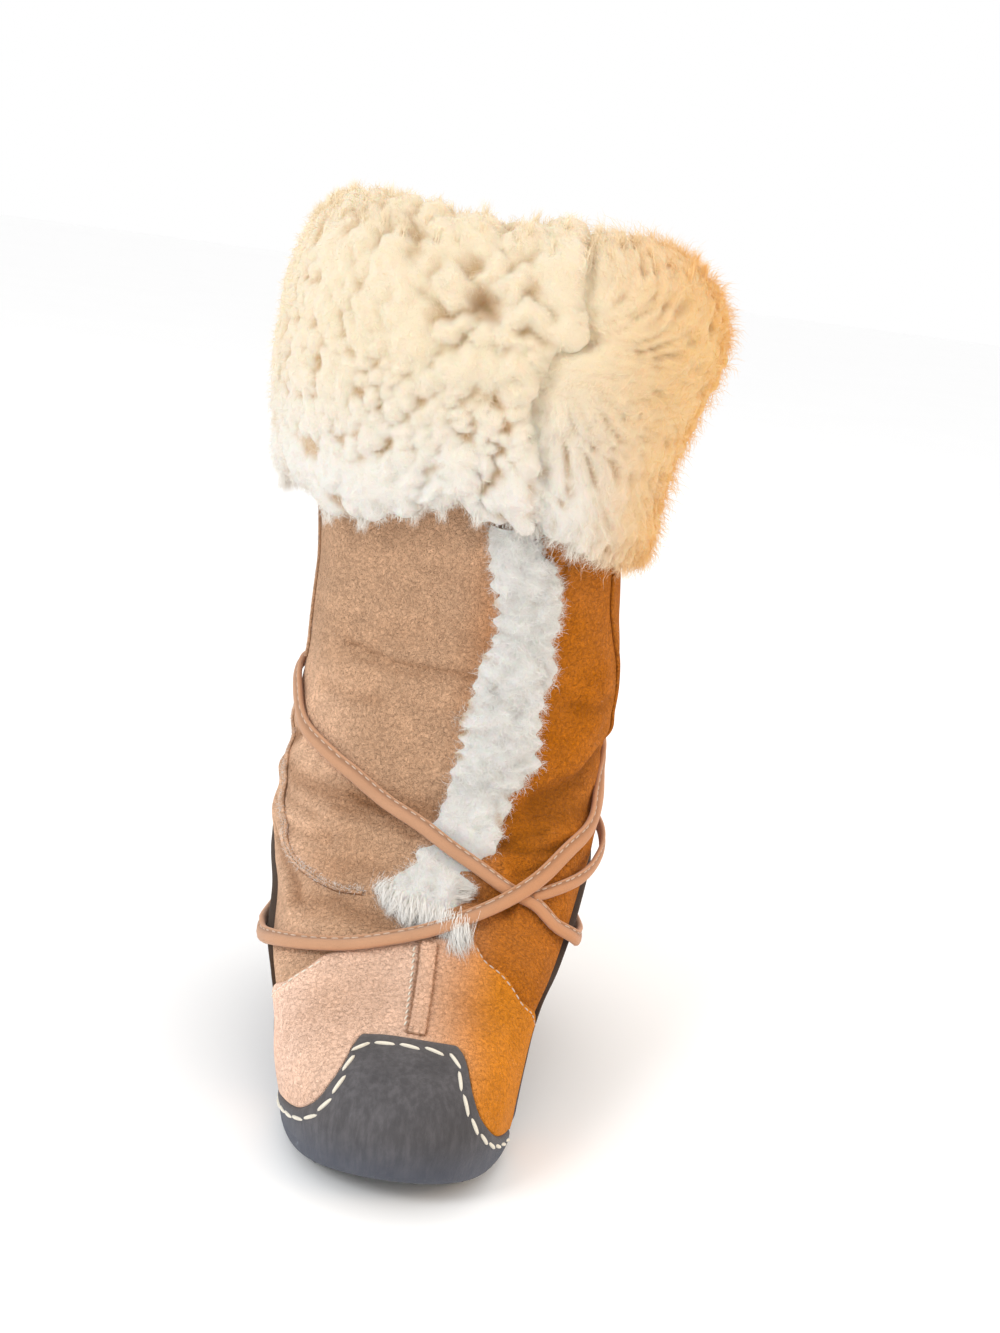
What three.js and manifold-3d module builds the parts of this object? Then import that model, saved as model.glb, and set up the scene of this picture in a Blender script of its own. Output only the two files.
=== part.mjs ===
// Mukluk boot for the left foot: soft sheepskin upper on a thin sole, with a folded fleece cuff.
// Millimetres, +Z up. The toe points to -Y, the outer side of the foot to +X. The floor is z = 0.

import * as THREE from "three";
import { mergeVertices } from "three/addons/utils/BufferGeometryUtils.js";
import Module from "manifold-3d";

const wasm = await Module();
wasm.setup();

// Driving dimensions
const SOLE_LENGTH = 260;
const BALL_WIDTH = 98;
const SHAFT_WIDTH = 140;
const SHAFT_DEPTH = 108;
const INSTEP_HEIGHT = 124;
const COLLAR_HEIGHT = 350;

const SOLE_THICKNESS = 9;
const TREAD_DEPTH = 2.5;
const TOE_SPRING = 9;
const ARCH_RISE = 3;
const HEEL_WEDGE = 4;

const UPPER_WALL = 3;
const INSOLE_THICKNESS = 4;
const VAMP_THICKNESS = 1.5;
const RAND_THICKNESS = 2.2;
const RAND_FOOT = 2.5;
const RAND_TUCK = 4;
const RAND_EASE = 0.9;
const COUNTER_SKIVE = 1.1;
const SOLE_INSET = 1;
const GAP = 0.35;
const STITCHED_GAP = 0.8;
const LACE_WIDTH = 7;
const LACE_THICKNESS = 3.6;
const SEAM_HEIGHT = 1.2;
const SEAM_WIDTH = 3.4;
const VAMP_SEAM_WIDTH = 7;
const FLEECE_EDGE = 8;
const CUFF_FLEECE = 30;
const CUFF_LIP = 7;
const CUFF_CROWN = 6;

// Rings have this many columns. The first and the last lie either side of the toe's middle.
const COLUMNS = 36;

const lerp = THREE.MathUtils.lerp;
const clamp = THREE.MathUtils.clamp;

// Reads a column of a table at a place, with a smooth curve that never overshoots its rows.
function readTable(table, key, column, place) {
  const last = table.length - 1;
  if (place <= table[0][key]) return table[0][column];
  if (place >= table[last][key]) return table[last][column];
  const slope = (i) => (table[i + 1][column] - table[i][column]) / (table[i + 1][key] - table[i][key]);
  const tangent = (i) => {
    if (i === 0) return slope(0);
    if (i === last) return slope(last - 1);
    const before = slope(i - 1);
    const after = slope(i);
    return before * after <= 0 ? 0 : (2 * before * after) / (before + after);
  };
  const row = table.findIndex((entry, i) => i < last && place < table[i + 1][key]);
  const width = table[row + 1][key] - table[row][key];
  const x = (place - table[row][key]) / width;
  const rise = table[row + 1][column] - table[row][column];
  const start = tangent(row) * width;
  const end = tangent(row + 1) * width;
  return table[row][column] + x * (start + x * (3 * rise - 2 * start - end + x * (start + end - 2 * rise)));
}

// Fullness of an outline beside an ellipse, from the toe (along = 0) to the heel (along = 1): the sole's
// two sides, and the slack sheepskin over it.
const outlines = [
  { along: 0.0, lateral: 1.5, medial: 1.5, slack: 1.32 },
  { along: 0.14, lateral: 1.2, medial: 1.22, slack: 1.17 },
  { along: 0.32, lateral: 1.04, medial: 1.03, slack: 1.03 },
  { along: 0.55, lateral: 0.9, medial: 0.76, slack: 1.0 },
  { along: 0.78, lateral: 0.92, medial: 0.86, slack: 1.0 },
  { along: 0.9, lateral: 1.12, medial: 1.12, slack: 1.1 },
  { along: 1.0, lateral: 1.42, medial: 1.42, slack: 1.28 },
];

// Level contours of the foot. Height is a share of the instep's height above the sole. Toe and heel are
// shares of the sole's length from its middle. Lateral and medial are half widths as shares of the ball
// width, and foot says how far the contour follows the sole's outline rather than the slack one.
const footContours = [
  { height: 0.0, toe: -0.495, heel: 0.495, lateral: 0.49, medial: 0.505, foot: 1.0 },
  { height: 0.09, toe: -0.501, heel: 0.503, lateral: 0.495, medial: 0.535, foot: 0.95 },
  { height: 0.18, toe: -0.493, heel: 0.505, lateral: 0.505, medial: 0.565, foot: 0.8 },
  { height: 0.27, toe: -0.462, heel: 0.505, lateral: 0.52, medial: 0.585, foot: 0.6 },
  { height: 0.355, toe: -0.395, heel: 0.504, lateral: 0.555, medial: 0.63, foot: 0.45 },
  { height: 0.44, toe: -0.31, heel: 0.502, lateral: 0.62, medial: 0.68, foot: 0.3 },
  { height: 0.53, toe: -0.225, heel: 0.5, lateral: 0.67, medial: 0.695, foot: 0.2 },
  { height: 0.62, toe: -0.14, heel: 0.498, lateral: 0.7, medial: 0.735, foot: 0.1 },
  { height: 0.73, toe: -0.055, heel: 0.496, lateral: 0.735, medial: 0.77, foot: 0.0 },
  { height: 0.87, toe: 0.015, heel: 0.494, lateral: 0.75, medial: 0.765, foot: 0.0 },
];

// Level contours of the shaft. Height is a share of the way from the instep to the collar. Lateral and
// medial are half widths as shares of the shaft's half width. Depth is a share of the shaft's depth, and
// forward moves the contour towards the toe, as a share of it.
const shaftContours = [
  { height: 0.0, lateral: 1.0, medial: 1.03, depth: 1.03, forward: 0.01 },
  { height: 0.09, lateral: 1.04, medial: 1.01, depth: 1.0, forward: 0.0 },
  { height: 0.2, lateral: 1.05, medial: 0.975, depth: 0.98, forward: 0.0 },
  { height: 0.34, lateral: 1.0, medial: 0.97, depth: 0.98, forward: 0.0 },
  { height: 0.47, lateral: 0.95, medial: 1.0, depth: 1.0, forward: 0.01 },
  { height: 0.7, lateral: 0.94, medial: 1.02, depth: 1.02, forward: 0.01 },
  { height: 1.0, lateral: 0.94, medial: 1.03, depth: 1.05, forward: 0.02 },
];

const SHAFT_MIDDLE = SOLE_LENGTH * 0.49 - SHAFT_DEPTH / 2;
const FEATHER = SOLE_THICKNESS + GAP;

const contours = [
  ...footContours.map((row) => ({
    z: FEATHER + row.height * (INSTEP_HEIGHT - FEATHER),
    toe: row.toe * SOLE_LENGTH,
    heel: row.heel * SOLE_LENGTH,
    lateral: row.lateral * BALL_WIDTH,
    medial: row.medial * BALL_WIDTH,
    foot: row.foot,
  })),
  ...shaftContours.map((row) => ({
    z: INSTEP_HEIGHT + row.height * (COLLAR_HEIGHT - INSTEP_HEIGHT),
    toe: SHAFT_MIDDLE - (row.depth / 2 + row.forward) * SHAFT_DEPTH,
    heel: SHAFT_MIDDLE + (row.depth / 2 - row.forward) * SHAFT_DEPTH,
    lateral: (row.lateral * SHAFT_WIDTH) / 2,
    medial: (row.medial * SHAFT_WIDTH) / 2,
    foot: 0,
  })),
];

// The boot's outer surface before it is set on its sole: turn runs once round from the toe over the
// outer side, and z is the height over the floor.
function surface(turn, z) {
  const level = (column) => readTable(contours, "z", column, z);
  const angle = turn * 2 * Math.PI;
  const along = (1 - Math.cos(angle)) / 2;
  const side = Math.sin(angle) >= 0 ? "lateral" : "medial";
  const outline = (column) => readTable(outlines, "along", column, along);
  const fullness = lerp(outline("slack"), outline(side), level("foot"));
  const x = level(side) * Math.sin(angle) * fullness;
  const y = lerp(level("toe"), level("heel"), along);
  return new THREE.Vector3(x, y, z);
}

const STEP = 0.002;
const RIM = 3;

// A point at a distance outside the surface. At the collar and the sole it moves level, so rims stay flat.
function offset(turn, z, distance) {
  const held = clamp(z, FEATHER, COLLAR_HEIGHT);
  const low = Math.max(held - 1, FEATHER);
  const high = Math.min(held + 1, COLLAR_HEIGHT);
  const around = surface(turn + STEP, held).sub(surface(turn - STEP, held));
  const up = surface(turn, high).sub(surface(turn, low));
  const normal = around.cross(up).normalize();
  normal.z *= clamp(Math.min(held - FEATHER, COLLAR_HEIGHT - held) / RIM, 0, 1);
  normal.normalize();
  const point = surface(turn, held).addScaledVector(normal, distance);
  point.z += z - held;
  return point;
}

// Rise of the sole's underside: toe spring in front, an arch between ball and heel.
function groundRise(y) {
  const along = y / SOLE_LENGTH + 0.5;
  const spring = TOE_SPRING * clamp((0.24 - along) / 0.24, 0, 1.1) ** 2;
  const arch = ARCH_RISE * THREE.MathUtils.smoothstep(along, 0.53, 0.6);
  const heel = ARCH_RISE * THREE.MathUtils.smoothstep(along, 0.66, 0.73);
  return spring + arch - heel;
}

// Rise of the footbed: the same toe spring, and a low wedge under the heel.
function footbedRise(y) {
  const along = y / SOLE_LENGTH + 0.5;
  const spring = TOE_SPRING * clamp((0.24 - along) / 0.24, 0, 1.1) ** 2;
  return spring + HEEL_WEDGE * THREE.MathUtils.smoothstep(along, 0.35, 0.75);
}

// Sets a point on the sole: everything over the footbed rises with it.
function stand(point) {
  const share = clamp(point.z / SOLE_THICKNESS, 0, 1);
  point.z += lerp(groundRise(point.y), footbedRise(point.y), share);
  return point;
}

// A closed solid swept through polygons with the same number of points. An open sweep has its ends
// closed by rungs from each point to the one opposite.
function sweep(polygons, closed) {
  const count = polygons[0].length;
  const positions = polygons.flat().flatMap((point) => [point.x, point.y, point.z]);
  const faces = [];
  const quad = (a, b, c, d) => faces.push(a, b, c, a, c, d);
  const spans = closed ? polygons.length : polygons.length - 1;
  for (let i = 0; i < spans; i++) {
    const here = i * count;
    const there = ((i + 1) % polygons.length) * count;
    for (let j = 0; j < count; j++) {
      const k = (j + 1) % count;
      quad(here + j, there + j, there + k, here + k);
    }
  }
  if (!closed) {
    const end = (polygons.length - 1) * count;
    for (let j = 0; j < count / 2 - 1; j++) {
      quad(j, j + 1, count - 2 - j, count - 1 - j);
      quad(end + count - 1 - j, end + count - 2 - j, end + j + 1, end + j);
    }
  }
  return outward(positions, faces);
}

// Makes a geometry whose faces point out, with its shared vertices merged.
function outward(positions, faces) {
  let volume = 0;
  const corner = (index) => new THREE.Vector3().fromArray(positions, index * 3);
  for (let i = 0; i < faces.length; i += 3) {
    const [a, b, c] = [corner(faces[i]), corner(faces[i + 1]), corner(faces[i + 2])];
    volume += a.dot(b.cross(c));
  }
  if (volume < 0) faces.reverse();
  const geometry = new THREE.BufferGeometry();
  geometry.setAttribute("position", new THREE.Float32BufferAttribute(positions, 3));
  geometry.setIndex(faces);
  return mergeVertices(geometry, 1e-4);
}

function ringTurns(columns = COLUMNS) {
  return Array.from({ length: columns }, (_, i) => (i + 0.5) / columns);
}

// A wall between two distances from the surface: each column runs up outside and down inside.
function wall(turns, heights, inner, outer, closed) {
  const polygons = turns.map((turn) => {
    const levels = heights(turn);
    const up = levels.map((z) => stand(offset(turn, z, outer)));
    const down = levels.map((z) => stand(offset(turn, z, inner))).reverse();
    return [...up, ...down];
  });
  return sweep(polygons, closed);
}

// Heights of the upper's rows, closer where the toe and instep curve.
const upperRows = [
  ...[0, 0.06, 0.12, 0.18, 0.24, 0.3, 0.36, 0.42, 0.48, 0.55, 0.63, 0.73, 0.86].map(
    (share) => FEATHER + share * (INSTEP_HEIGHT - FEATHER),
  ),
  ...[0, 0.1, 0.22, 0.34, 0.48, 0.65, 0.82, 1].map(
    (share) => INSTEP_HEIGHT + share * (COLLAR_HEIGHT - INSTEP_HEIGHT),
  ),
];

function makeUpper() {
  return wall(ringTurns(), () => upperRows, -UPPER_WALL, 0, true);
}

// Level plate with the boot's outline, grown outwards by a margin at each of its heights.
function plate(levels) {
  const polygons = levels.map(({ z, margin }) =>
    ringTurns().map((turn) => {
      const point = offset(turn, FEATHER, margin);
      point.z = z;
      return point;
    }),
  );
  return sweep(polygons, false);
}

function makeInsole() {
  const margin = -(UPPER_WALL + GAP);
  const bottom = SOLE_THICKNESS + GAP;
  return settle(
    plate([
      { z: bottom, margin },
      { z: bottom + INSOLE_THICKNESS, margin: margin - 2 * GAP },
    ]),
  );
}

function settle(geometry) {
  const position = geometry.attributes.position;
  const point = new THREE.Vector3();
  for (let i = 0; i < position.count; i++) {
    stand(point.fromBufferAttribute(position, i));
    position.setXYZ(i, point.x, point.y, point.z);
  }
  return geometry;
}

function toManifold(geometry) {
  const bare = geometry.clone();
  bare.deleteAttribute("normal");
  bare.deleteAttribute("uv");
  const merged = mergeVertices(bare, 1e-4);
  return new wasm.Manifold(
    new wasm.Mesh({
      numProp: 3,
      vertProperties: new Float32Array(merged.attributes.position.array),
      triVerts: new Uint32Array(merged.index.array),
    }),
  );
}

function fromManifold(solid) {
  const mesh = solid.getMesh();
  const geometry = new THREE.BufferGeometry();
  geometry.setAttribute("position", new THREE.BufferAttribute(mesh.vertProperties, 3));
  geometry.setIndex(new THREE.BufferAttribute(mesh.triVerts, 1));
  return geometry;
}

// The sole's body: its side lies a little inside the foot's line, and its edges are rounded.
const soleLevels = [
  { z: TREAD_DEPTH, margin: -SOLE_INSET - 2.5 },
  { z: TREAD_DEPTH + 1.5, margin: -SOLE_INSET - 0.8 },
  { z: SOLE_THICKNESS - 1, margin: -SOLE_INSET },
  { z: SOLE_THICKNESS, margin: -SOLE_INSET - 0.8 },
];
const TREAD_INSET = 4;
const TREAD_PITCH = 13;
const TREAD_BAR = 8.5;
const treadZones = [
  { from: 0.08, to: 0.53 },
  { from: 0.74, to: 0.97 },
];

// The sole's body, with transverse tread bars fused under the forefoot and the heel.
function makeOutsole() {
  let sole = toManifold(plate(soleLevels));
  const footprint = toManifold(
    plate([
      { z: 0, margin: -TREAD_INSET },
      { z: TREAD_DEPTH + 1, margin: -TREAD_INSET },
    ]),
  );
  for (const zone of treadZones) {
    const first = (zone.from - 0.5) * SOLE_LENGTH;
    const last = (zone.to - 0.5) * SOLE_LENGTH;
    for (let y = first + TREAD_BAR / 2; y < last; y += TREAD_PITCH) {
      const bar = new THREE.BoxGeometry(2 * BALL_WIDTH, TREAD_BAR, 4 * TREAD_DEPTH);
      bar.translate(0, y, 0);
      sole = sole.add(footprint.intersect(toManifold(bar)));
    }
  }
  return settle(fromManifold(sole));
}

// The boot's whole outer form, grown by a margin: what lies over the upper is cut to it.
const UNDER_FORM = 3;
function form(margin) {
  const rows = [FEATHER - UNDER_FORM, ...upperRows, COLLAR_HEIGHT + margin];
  return toManifold(sweep(rows.map((z) => ringTurns().map((turn) => stand(offset(turn, z, margin)))), false));
}

const upperForm = form(GAP);
const cutToUpper = (geometry) => toManifold(geometry).subtract(upperForm);

// The sole's body grown by the gap and carried down, for what wraps round its side.
const soleForm = toManifold(
  settle(
    plate([
      { z: TREAD_DEPTH / 4, margin: soleLevels[0].margin + GAP },
      ...soleLevels.map(({ z, margin }) => ({ z, margin: margin + GAP })),
    ]),
  ),
);

// How far an overlay reaches into the upper before it is cut to it.
const BITE = -1;

// Upper edge of the toe cap, with its tab over the toes. Height is a share of the instep's height.
const toeCapEdge = [
  { turn: -0.17, height: 0.105 },
  { turn: -0.12, height: 0.173 },
  { turn: -0.088, height: 0.193 },
  { turn: -0.07, height: 0.227 },
  { turn: -0.06, height: 0.264 },
  { turn: -0.052, height: 0.311 },
  { turn: -0.044, height: 0.36 },
  { turn: -0.039, height: 0.395 },
  { turn: -0.032, height: 0.424 },
  { turn: -0.012, height: 0.43 },
  { turn: 0.014, height: 0.428 },
  { turn: 0.039, height: 0.423 },
  { turn: 0.046, height: 0.409 },
  { turn: 0.053, height: 0.38 },
  { turn: 0.061, height: 0.32 },
  { turn: 0.072, height: 0.257 },
  { turn: 0.088, height: 0.203 },
  { turn: 0.11, height: 0.153 },
  { turn: 0.15, height: 0.102 },
];

// Upper edge of the vamp, stitched in an arch over the instep.
const vampEdge = [
  { turn: -0.168, height: 0.37 },
  { turn: -0.15, height: 0.415 },
  { turn: -0.116, height: 0.459 },
  { turn: -0.088, height: 0.509 },
  { turn: -0.07, height: 0.548 },
  { turn: -0.05, height: 0.573 },
  { turn: -0.022, height: 0.602 },
  { turn: 0.0, height: 0.618 },
  { turn: 0.02, height: 0.626 },
  { turn: 0.037, height: 0.621 },
  { turn: 0.05, height: 0.583 },
  { turn: 0.072, height: 0.55 },
  { turn: 0.092, height: 0.504 },
  { turn: 0.12, height: 0.465 },
  { turn: 0.14, height: 0.44 },
  { turn: 0.168, height: 0.38 },
];

// Upper edge of the heel counter, from the outer side round the back to the inner side.
const counterEdge = [
  { turn: 0.175, height: 0.47 },
  { turn: 0.2, height: 0.62 },
  { turn: 0.24, height: 0.71 },
  { turn: 0.32, height: 0.76 },
  { turn: 0.5, height: 0.79 },
  { turn: 0.68, height: 0.75 },
  { turn: 0.76, height: 0.69 },
  { turn: 0.8, height: 0.6 },
  { turn: 0.825, height: 0.46 },
];

const edgeHeight = (table, turn) => readTable(table, "turn", "height", turn) * INSTEP_HEIGHT;

// Evenly spaced values from one end to the other, both included.
function spread(from, to, steps) {
  return Array.from({ length: steps + 1 }, (_, i) => lerp(from, to, i / steps));
}

// A table's own turns, with one more halfway where two rows lie far apart.
function turnsOf(table, widest) {
  const turns = table.flatMap((row, i) => {
    if (i === 0) return [row.turn];
    const steps = Math.ceil((row.turn - table[i - 1].turn) / widest);
    return spread(table[i - 1].turn, row.turn, steps).slice(1);
  });
  return turns;
}

const WIDEST_STEP = 0.026;
const GAP_TURN = 0.008;
const OVERLAY_ROWS = 5;

// The rand's lower part. Rise is a share of the way up the sole's side, tuck a share of how far its
// outer face curves in under the edge, and inner is its inner face's line, which follows the sole's side.
const randFoot = [
  { rise: 0, tuck: 1, inner: soleLevels[0].margin },
  { rise: 0.25, tuck: 0.5, inner: soleLevels[1].margin },
  { rise: 0.6, tuck: 0.1, inner: -SOLE_INSET },
];

// A rand lies over the upper up to an edge, and wraps down over the sole's side. Bite is how far its
// inner face lies inside where it is wanted, before it is cut, and skive how much thinner its upper
// edge is.
function rand(turns, edge, rows, bite, skive) {
  const full = GAP + RAND_THICKNESS;
  const foot = randFoot.map(({ rise, tuck, inner }) => ({
    z: lerp(RAND_FOOT, FEATHER, rise),
    outer: full - tuck * RAND_TUCK,
    inner: inner + RAND_EASE - bite,
  }));
  const polygons = turns.map((turn) => {
    const body = spread(FEATHER, edgeHeight(edge, turn), rows).map((z, i) => ({
      z,
      outer: full,
      inner: RAND_EASE - bite + (skive * i) / rows,
    }));
    const levels = [...foot, ...body];
    const up = levels.map(({ z, outer }) => stand(offset(turn, z, outer)));
    const down = levels.map(({ z, inner }) => stand(offset(turn, z, inner))).reverse();
    return [...up, ...down];
  });
  return toManifold(sweep(polygons, false));
}

function makeToeCap() {
  const cap = rand(turnsOf(toeCapEdge, WIDEST_STEP), toeCapEdge, OVERLAY_ROWS - 1, 2, 0);
  return fromManifold(cap.subtract(upperForm).subtract(soleForm));
}

function makeCounter() {
  const [first, last] = [counterEdge[0].turn, counterEdge.at(-1).turn];
  const between = ringTurns().filter((turn) => turn > first + GAP_TURN && turn < last - GAP_TURN);
  return fromManifold(rand([first, ...between, last], counterEdge, OVERLAY_ROWS + 2, 0, COUNTER_SKIVE));
}

function makeVamp() {
  const capEnds = [toeCapEdge[0].turn, toeCapEdge[toeCapEdge.length - 1].turn];
  const turns = [...turnsOf(vampEdge, WIDEST_STEP), ...toeCapEdge.map((row) => row.turn)]
    .filter((turn) => turn >= vampEdge[0].turn)
    .sort((a, b) => a - b)
    .filter((turn, i, all) => i === 0 || turn - all[i - 1] > 0.003);
  const heights = (turn) => {
    const overCap = turn > capEnds[0] && turn < capEnds[1] + STITCHED_GAP / SOLE_LENGTH;
    const bottom = overCap ? edgeHeight(toeCapEdge, turn) + STITCHED_GAP : FEATHER;
    return spread(bottom, edgeHeight(vampEdge, turn), OVERLAY_ROWS);
  };
  return fromManifold(cutToUpper(wall(turns, heights, BITE, GAP + VAMP_THICKNESS, false)));
}

// A flat band with rounded edges along a path on the surface. Each row of the path has a turn, a height
// z and a lift, which is how far the band's underside lies over the surface.
const roundedSection = [
  [-0.5, 0.5],
  [-0.34, 1],
  [0.34, 1],
  [0.5, 0.5],
  [0.34, 0],
  [-0.34, 0],
];
const squareSection = [
  [-0.5, 0],
  [-0.5, 1],
  [0.5, 1],
  [0.5, 0],
];

function band(path, steps, width, thickness, section = roundedSection, from = path[0].place, to = path.at(-1).place) {
  const read = (column, place) => readTable(path, "place", column, place);
  const centre = (place, height) => offset(read("turn", place), read("z", place), read("lift", place) + height);
  const step = (to - from) / steps / 4;
  const polygons = spread(from, to, steps).map((place) => {
    const low = centre(place, 0);
    const normal = centre(place, 1).sub(low).normalize();
    const ahead = centre(place + step, 0).sub(centre(place - step, 0));
    const across = ahead.cross(normal).normalize();
    return section.map(([side, height]) =>
      stand(low.clone().addScaledVector(across, side * width).addScaledVector(normal, height * thickness)),
    );
  });
  return sweep(polygons, false);
}

// The lace's route, wound twice round the ankle: place counts along it, turn runs on past one for the
// second winding, height is a share of the instep's height, and lift is its underside's distance.
const BARE = 0.9;
const OVER_VAMP = GAP + VAMP_THICKNESS + BARE;
const OVER_COUNTER = GAP + RAND_THICKNESS + BARE + GAP;
const OVER_FLEECE = FLEECE_EDGE * 0.5;
const laceRoute = [
  { turn: -0.25, height: 0.47, lift: OVER_COUNTER },
  { turn: -0.183, height: 0.485, lift: OVER_COUNTER },
  { turn: -0.14, height: 0.512, lift: OVER_VAMP },
  { turn: -0.087, height: 0.545, lift: OVER_VAMP },
  { turn: -0.051, height: 0.568, lift: OVER_VAMP },
  { turn: -0.022, height: 0.59, lift: OVER_FLEECE },
  { turn: 0.005, height: 0.616, lift: OVER_FLEECE },
  { turn: 0.033, height: 0.652, lift: OVER_FLEECE },
  { turn: 0.062, height: 0.693, lift: OVER_FLEECE },
  { turn: 0.087, height: 0.742, lift: OVER_FLEECE * 0.7 },
  { turn: 0.117, height: 0.815, lift: BARE },
  { turn: 0.16, height: 0.87, lift: BARE },
  { turn: 0.2, height: 0.94, lift: BARE },
  { turn: 0.25, height: 1.04, lift: BARE },
  { turn: 0.35, height: 1.13, lift: BARE },
  { turn: 0.5, height: 1.2, lift: BARE },
  { turn: 0.65, height: 1.235, lift: BARE },
  { turn: 0.74, height: 1.235, lift: BARE },
  { turn: 0.777, height: 1.213, lift: BARE },
  { turn: 0.82, height: 1.14, lift: BARE },
  { turn: 0.86, height: 1.08, lift: BARE },
  { turn: 0.896, height: 1.035, lift: BARE },
  { turn: 0.927, height: 0.98, lift: BARE },
  { turn: 0.965, height: 0.903, lift: BARE * 2 },
  { turn: 0.988, height: 0.864, lift: OVER_FLEECE },
  { turn: 1.011, height: 0.808, lift: OVER_FLEECE },
  { turn: 1.035, height: 0.765, lift: OVER_FLEECE * 0.7 },
  { turn: 1.061, height: 0.719, lift: BARE },
  { turn: 1.092, height: 0.683, lift: BARE },
  { turn: 1.116, height: 0.631, lift: BARE * 1.5 },
  { turn: 1.15, height: 0.59, lift: OVER_COUNTER },
  { turn: 1.2, height: 0.55, lift: OVER_COUNTER },
  { turn: 1.35, height: 0.49, lift: OVER_COUNTER },
  { turn: 1.5, height: 0.47, lift: OVER_COUNTER },
  { turn: 1.65, height: 0.46, lift: OVER_COUNTER },
  { turn: 1.75, height: 0.47, lift: OVER_COUNTER },
  { turn: 1.817, height: 0.485, lift: OVER_COUNTER },
];

const lacePath = laceRoute.map((row) => ({
  place: row.turn,
  turn: row.turn,
  z: row.height * INSTEP_HEIGHT,
  lift: row.lift,
}));

// A short end of the lace that comes out under the crossing and runs back over the outer side.
const laceEndPath = [
  { place: 0, turn: 0.083, z: 0.705 * INSTEP_HEIGHT, lift: BARE },
  { place: 1, turn: 0.111, z: 0.715 * INSTEP_HEIGHT, lift: BARE },
  { place: 2, turn: 0.15, z: 0.725 * INSTEP_HEIGHT, lift: BARE * 2 },
  { place: 3, turn: 0.19, z: 0.74 * INSTEP_HEIGHT, lift: OVER_COUNTER },
  { place: 4, turn: 0.24, z: 0.76 * INSTEP_HEIGHT, lift: OVER_COUNTER },
  { place: 5, turn: 0.3, z: 0.78 * INSTEP_HEIGHT, lift: OVER_COUNTER },
];

const LACE_STEPS = 25;
const LACE_END = 0.8;
const LACE_BREAK = 0.5;
const LACE_OVERLAP = 0.01;

// The lace's three runs as one solid. Sunk and with a square section it is the groove that it presses.
function laceSolid(width, thickness, section, sink) {
  const lowered = (path) => path.map((row) => ({ ...row, lift: row.lift - sink }));
  const [start, end] = [lacePath[1].place - LACE_OVERLAP, lacePath.at(-1).place];
  const first = band(lowered(lacePath), LACE_STEPS, width, thickness, section, start, LACE_BREAK);
  const again = LACE_BREAK - LACE_OVERLAP;
  const second = band(lowered(lacePath), 1.6 * LACE_STEPS, width, thickness, section, again, end);
  const loose = band(lowered(laceEndPath), LACE_STEPS / 4, LACE_END * width, LACE_END * thickness, section);
  return toManifold(first).add(toManifold(second)).add(toManifold(loose)).subtract(upperForm);
}

function makeLace() {
  return fromManifold(laceSolid(LACE_WIDTH, LACE_THICKNESS, roundedSection, 0));
}

// Edges of the fleece that shows down the front opening, from the vamp up to the cuff.
const fleeceEdges = [
  { height: 0.65, from: -0.022, to: 0.03 },
  { height: 0.694, from: -0.031, to: 0.026 },
  { height: 0.74, from: -0.018, to: 0.031 },
  { height: 0.82, from: -0.006, to: 0.045 },
  { height: 0.87, from: -0.003, to: 0.048 },
  { height: 0.93, from: 0.004, to: 0.052 },
  { height: 1.01, from: 0.007, to: 0.069 },
  { height: 1.07, from: 0.008, to: 0.075 },
  { height: 1.15, from: 0.011, to: 0.073 },
  { height: 1.21, from: 0.005, to: 0.069 },
  { height: 1.32, from: 0.014, to: 0.068 },
  { height: 1.44, from: 0.017, to: 0.077 },
  { height: 1.53, from: 0.026, to: 0.07 },
  { height: 1.63, from: 0.025, to: 0.078 },
  { height: 1.75, from: 0.018, to: 0.076 },
  { height: 1.86, from: 0.013, to: 0.055 },
  { height: 1.93, from: 0.011, to: 0.05 },
];

// How far the fleece stands up across its width, as shares of its full thickness.
const fleeceDome = [0.42, 0.86, 1, 0.86, 0.42];

// Steady scatter between zero and one for the placing of locks.
function scatter(index, seed) {
  return (((index + 1) * 0.6180339887 + seed * 0.7548776662) % 1 + 1) % 1;
}

// A lock of fleece: a small closed drop round a middle, with its long axis along a direction.
function lock(middle, direction, width, length) {
  const drop = new THREE.OctahedronGeometry(1, 0);
  drop.scale(width / 2, width / 2, length / 2);
  const turnTo = new THREE.Quaternion().setFromUnitVectors(new THREE.Vector3(0, 0, 1), direction);
  drop.applyQuaternion(turnTo);
  drop.translate(middle.x, middle.y, middle.z);
  return toManifold(drop);
}

const fleeceLock = (middle, direction, { width, length }) =>
  lock(middle, direction, CUFF_FLEECE * width, CUFF_FLEECE * length);

const FLEECE_ROWS = 20;
const FLEECE_SWELL = 0.16;
const SWELL_PITCH = 2.4;
const stripLocks = { count: 9, width: 0.85, length: 1.3, stand: 0.72 };

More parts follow.
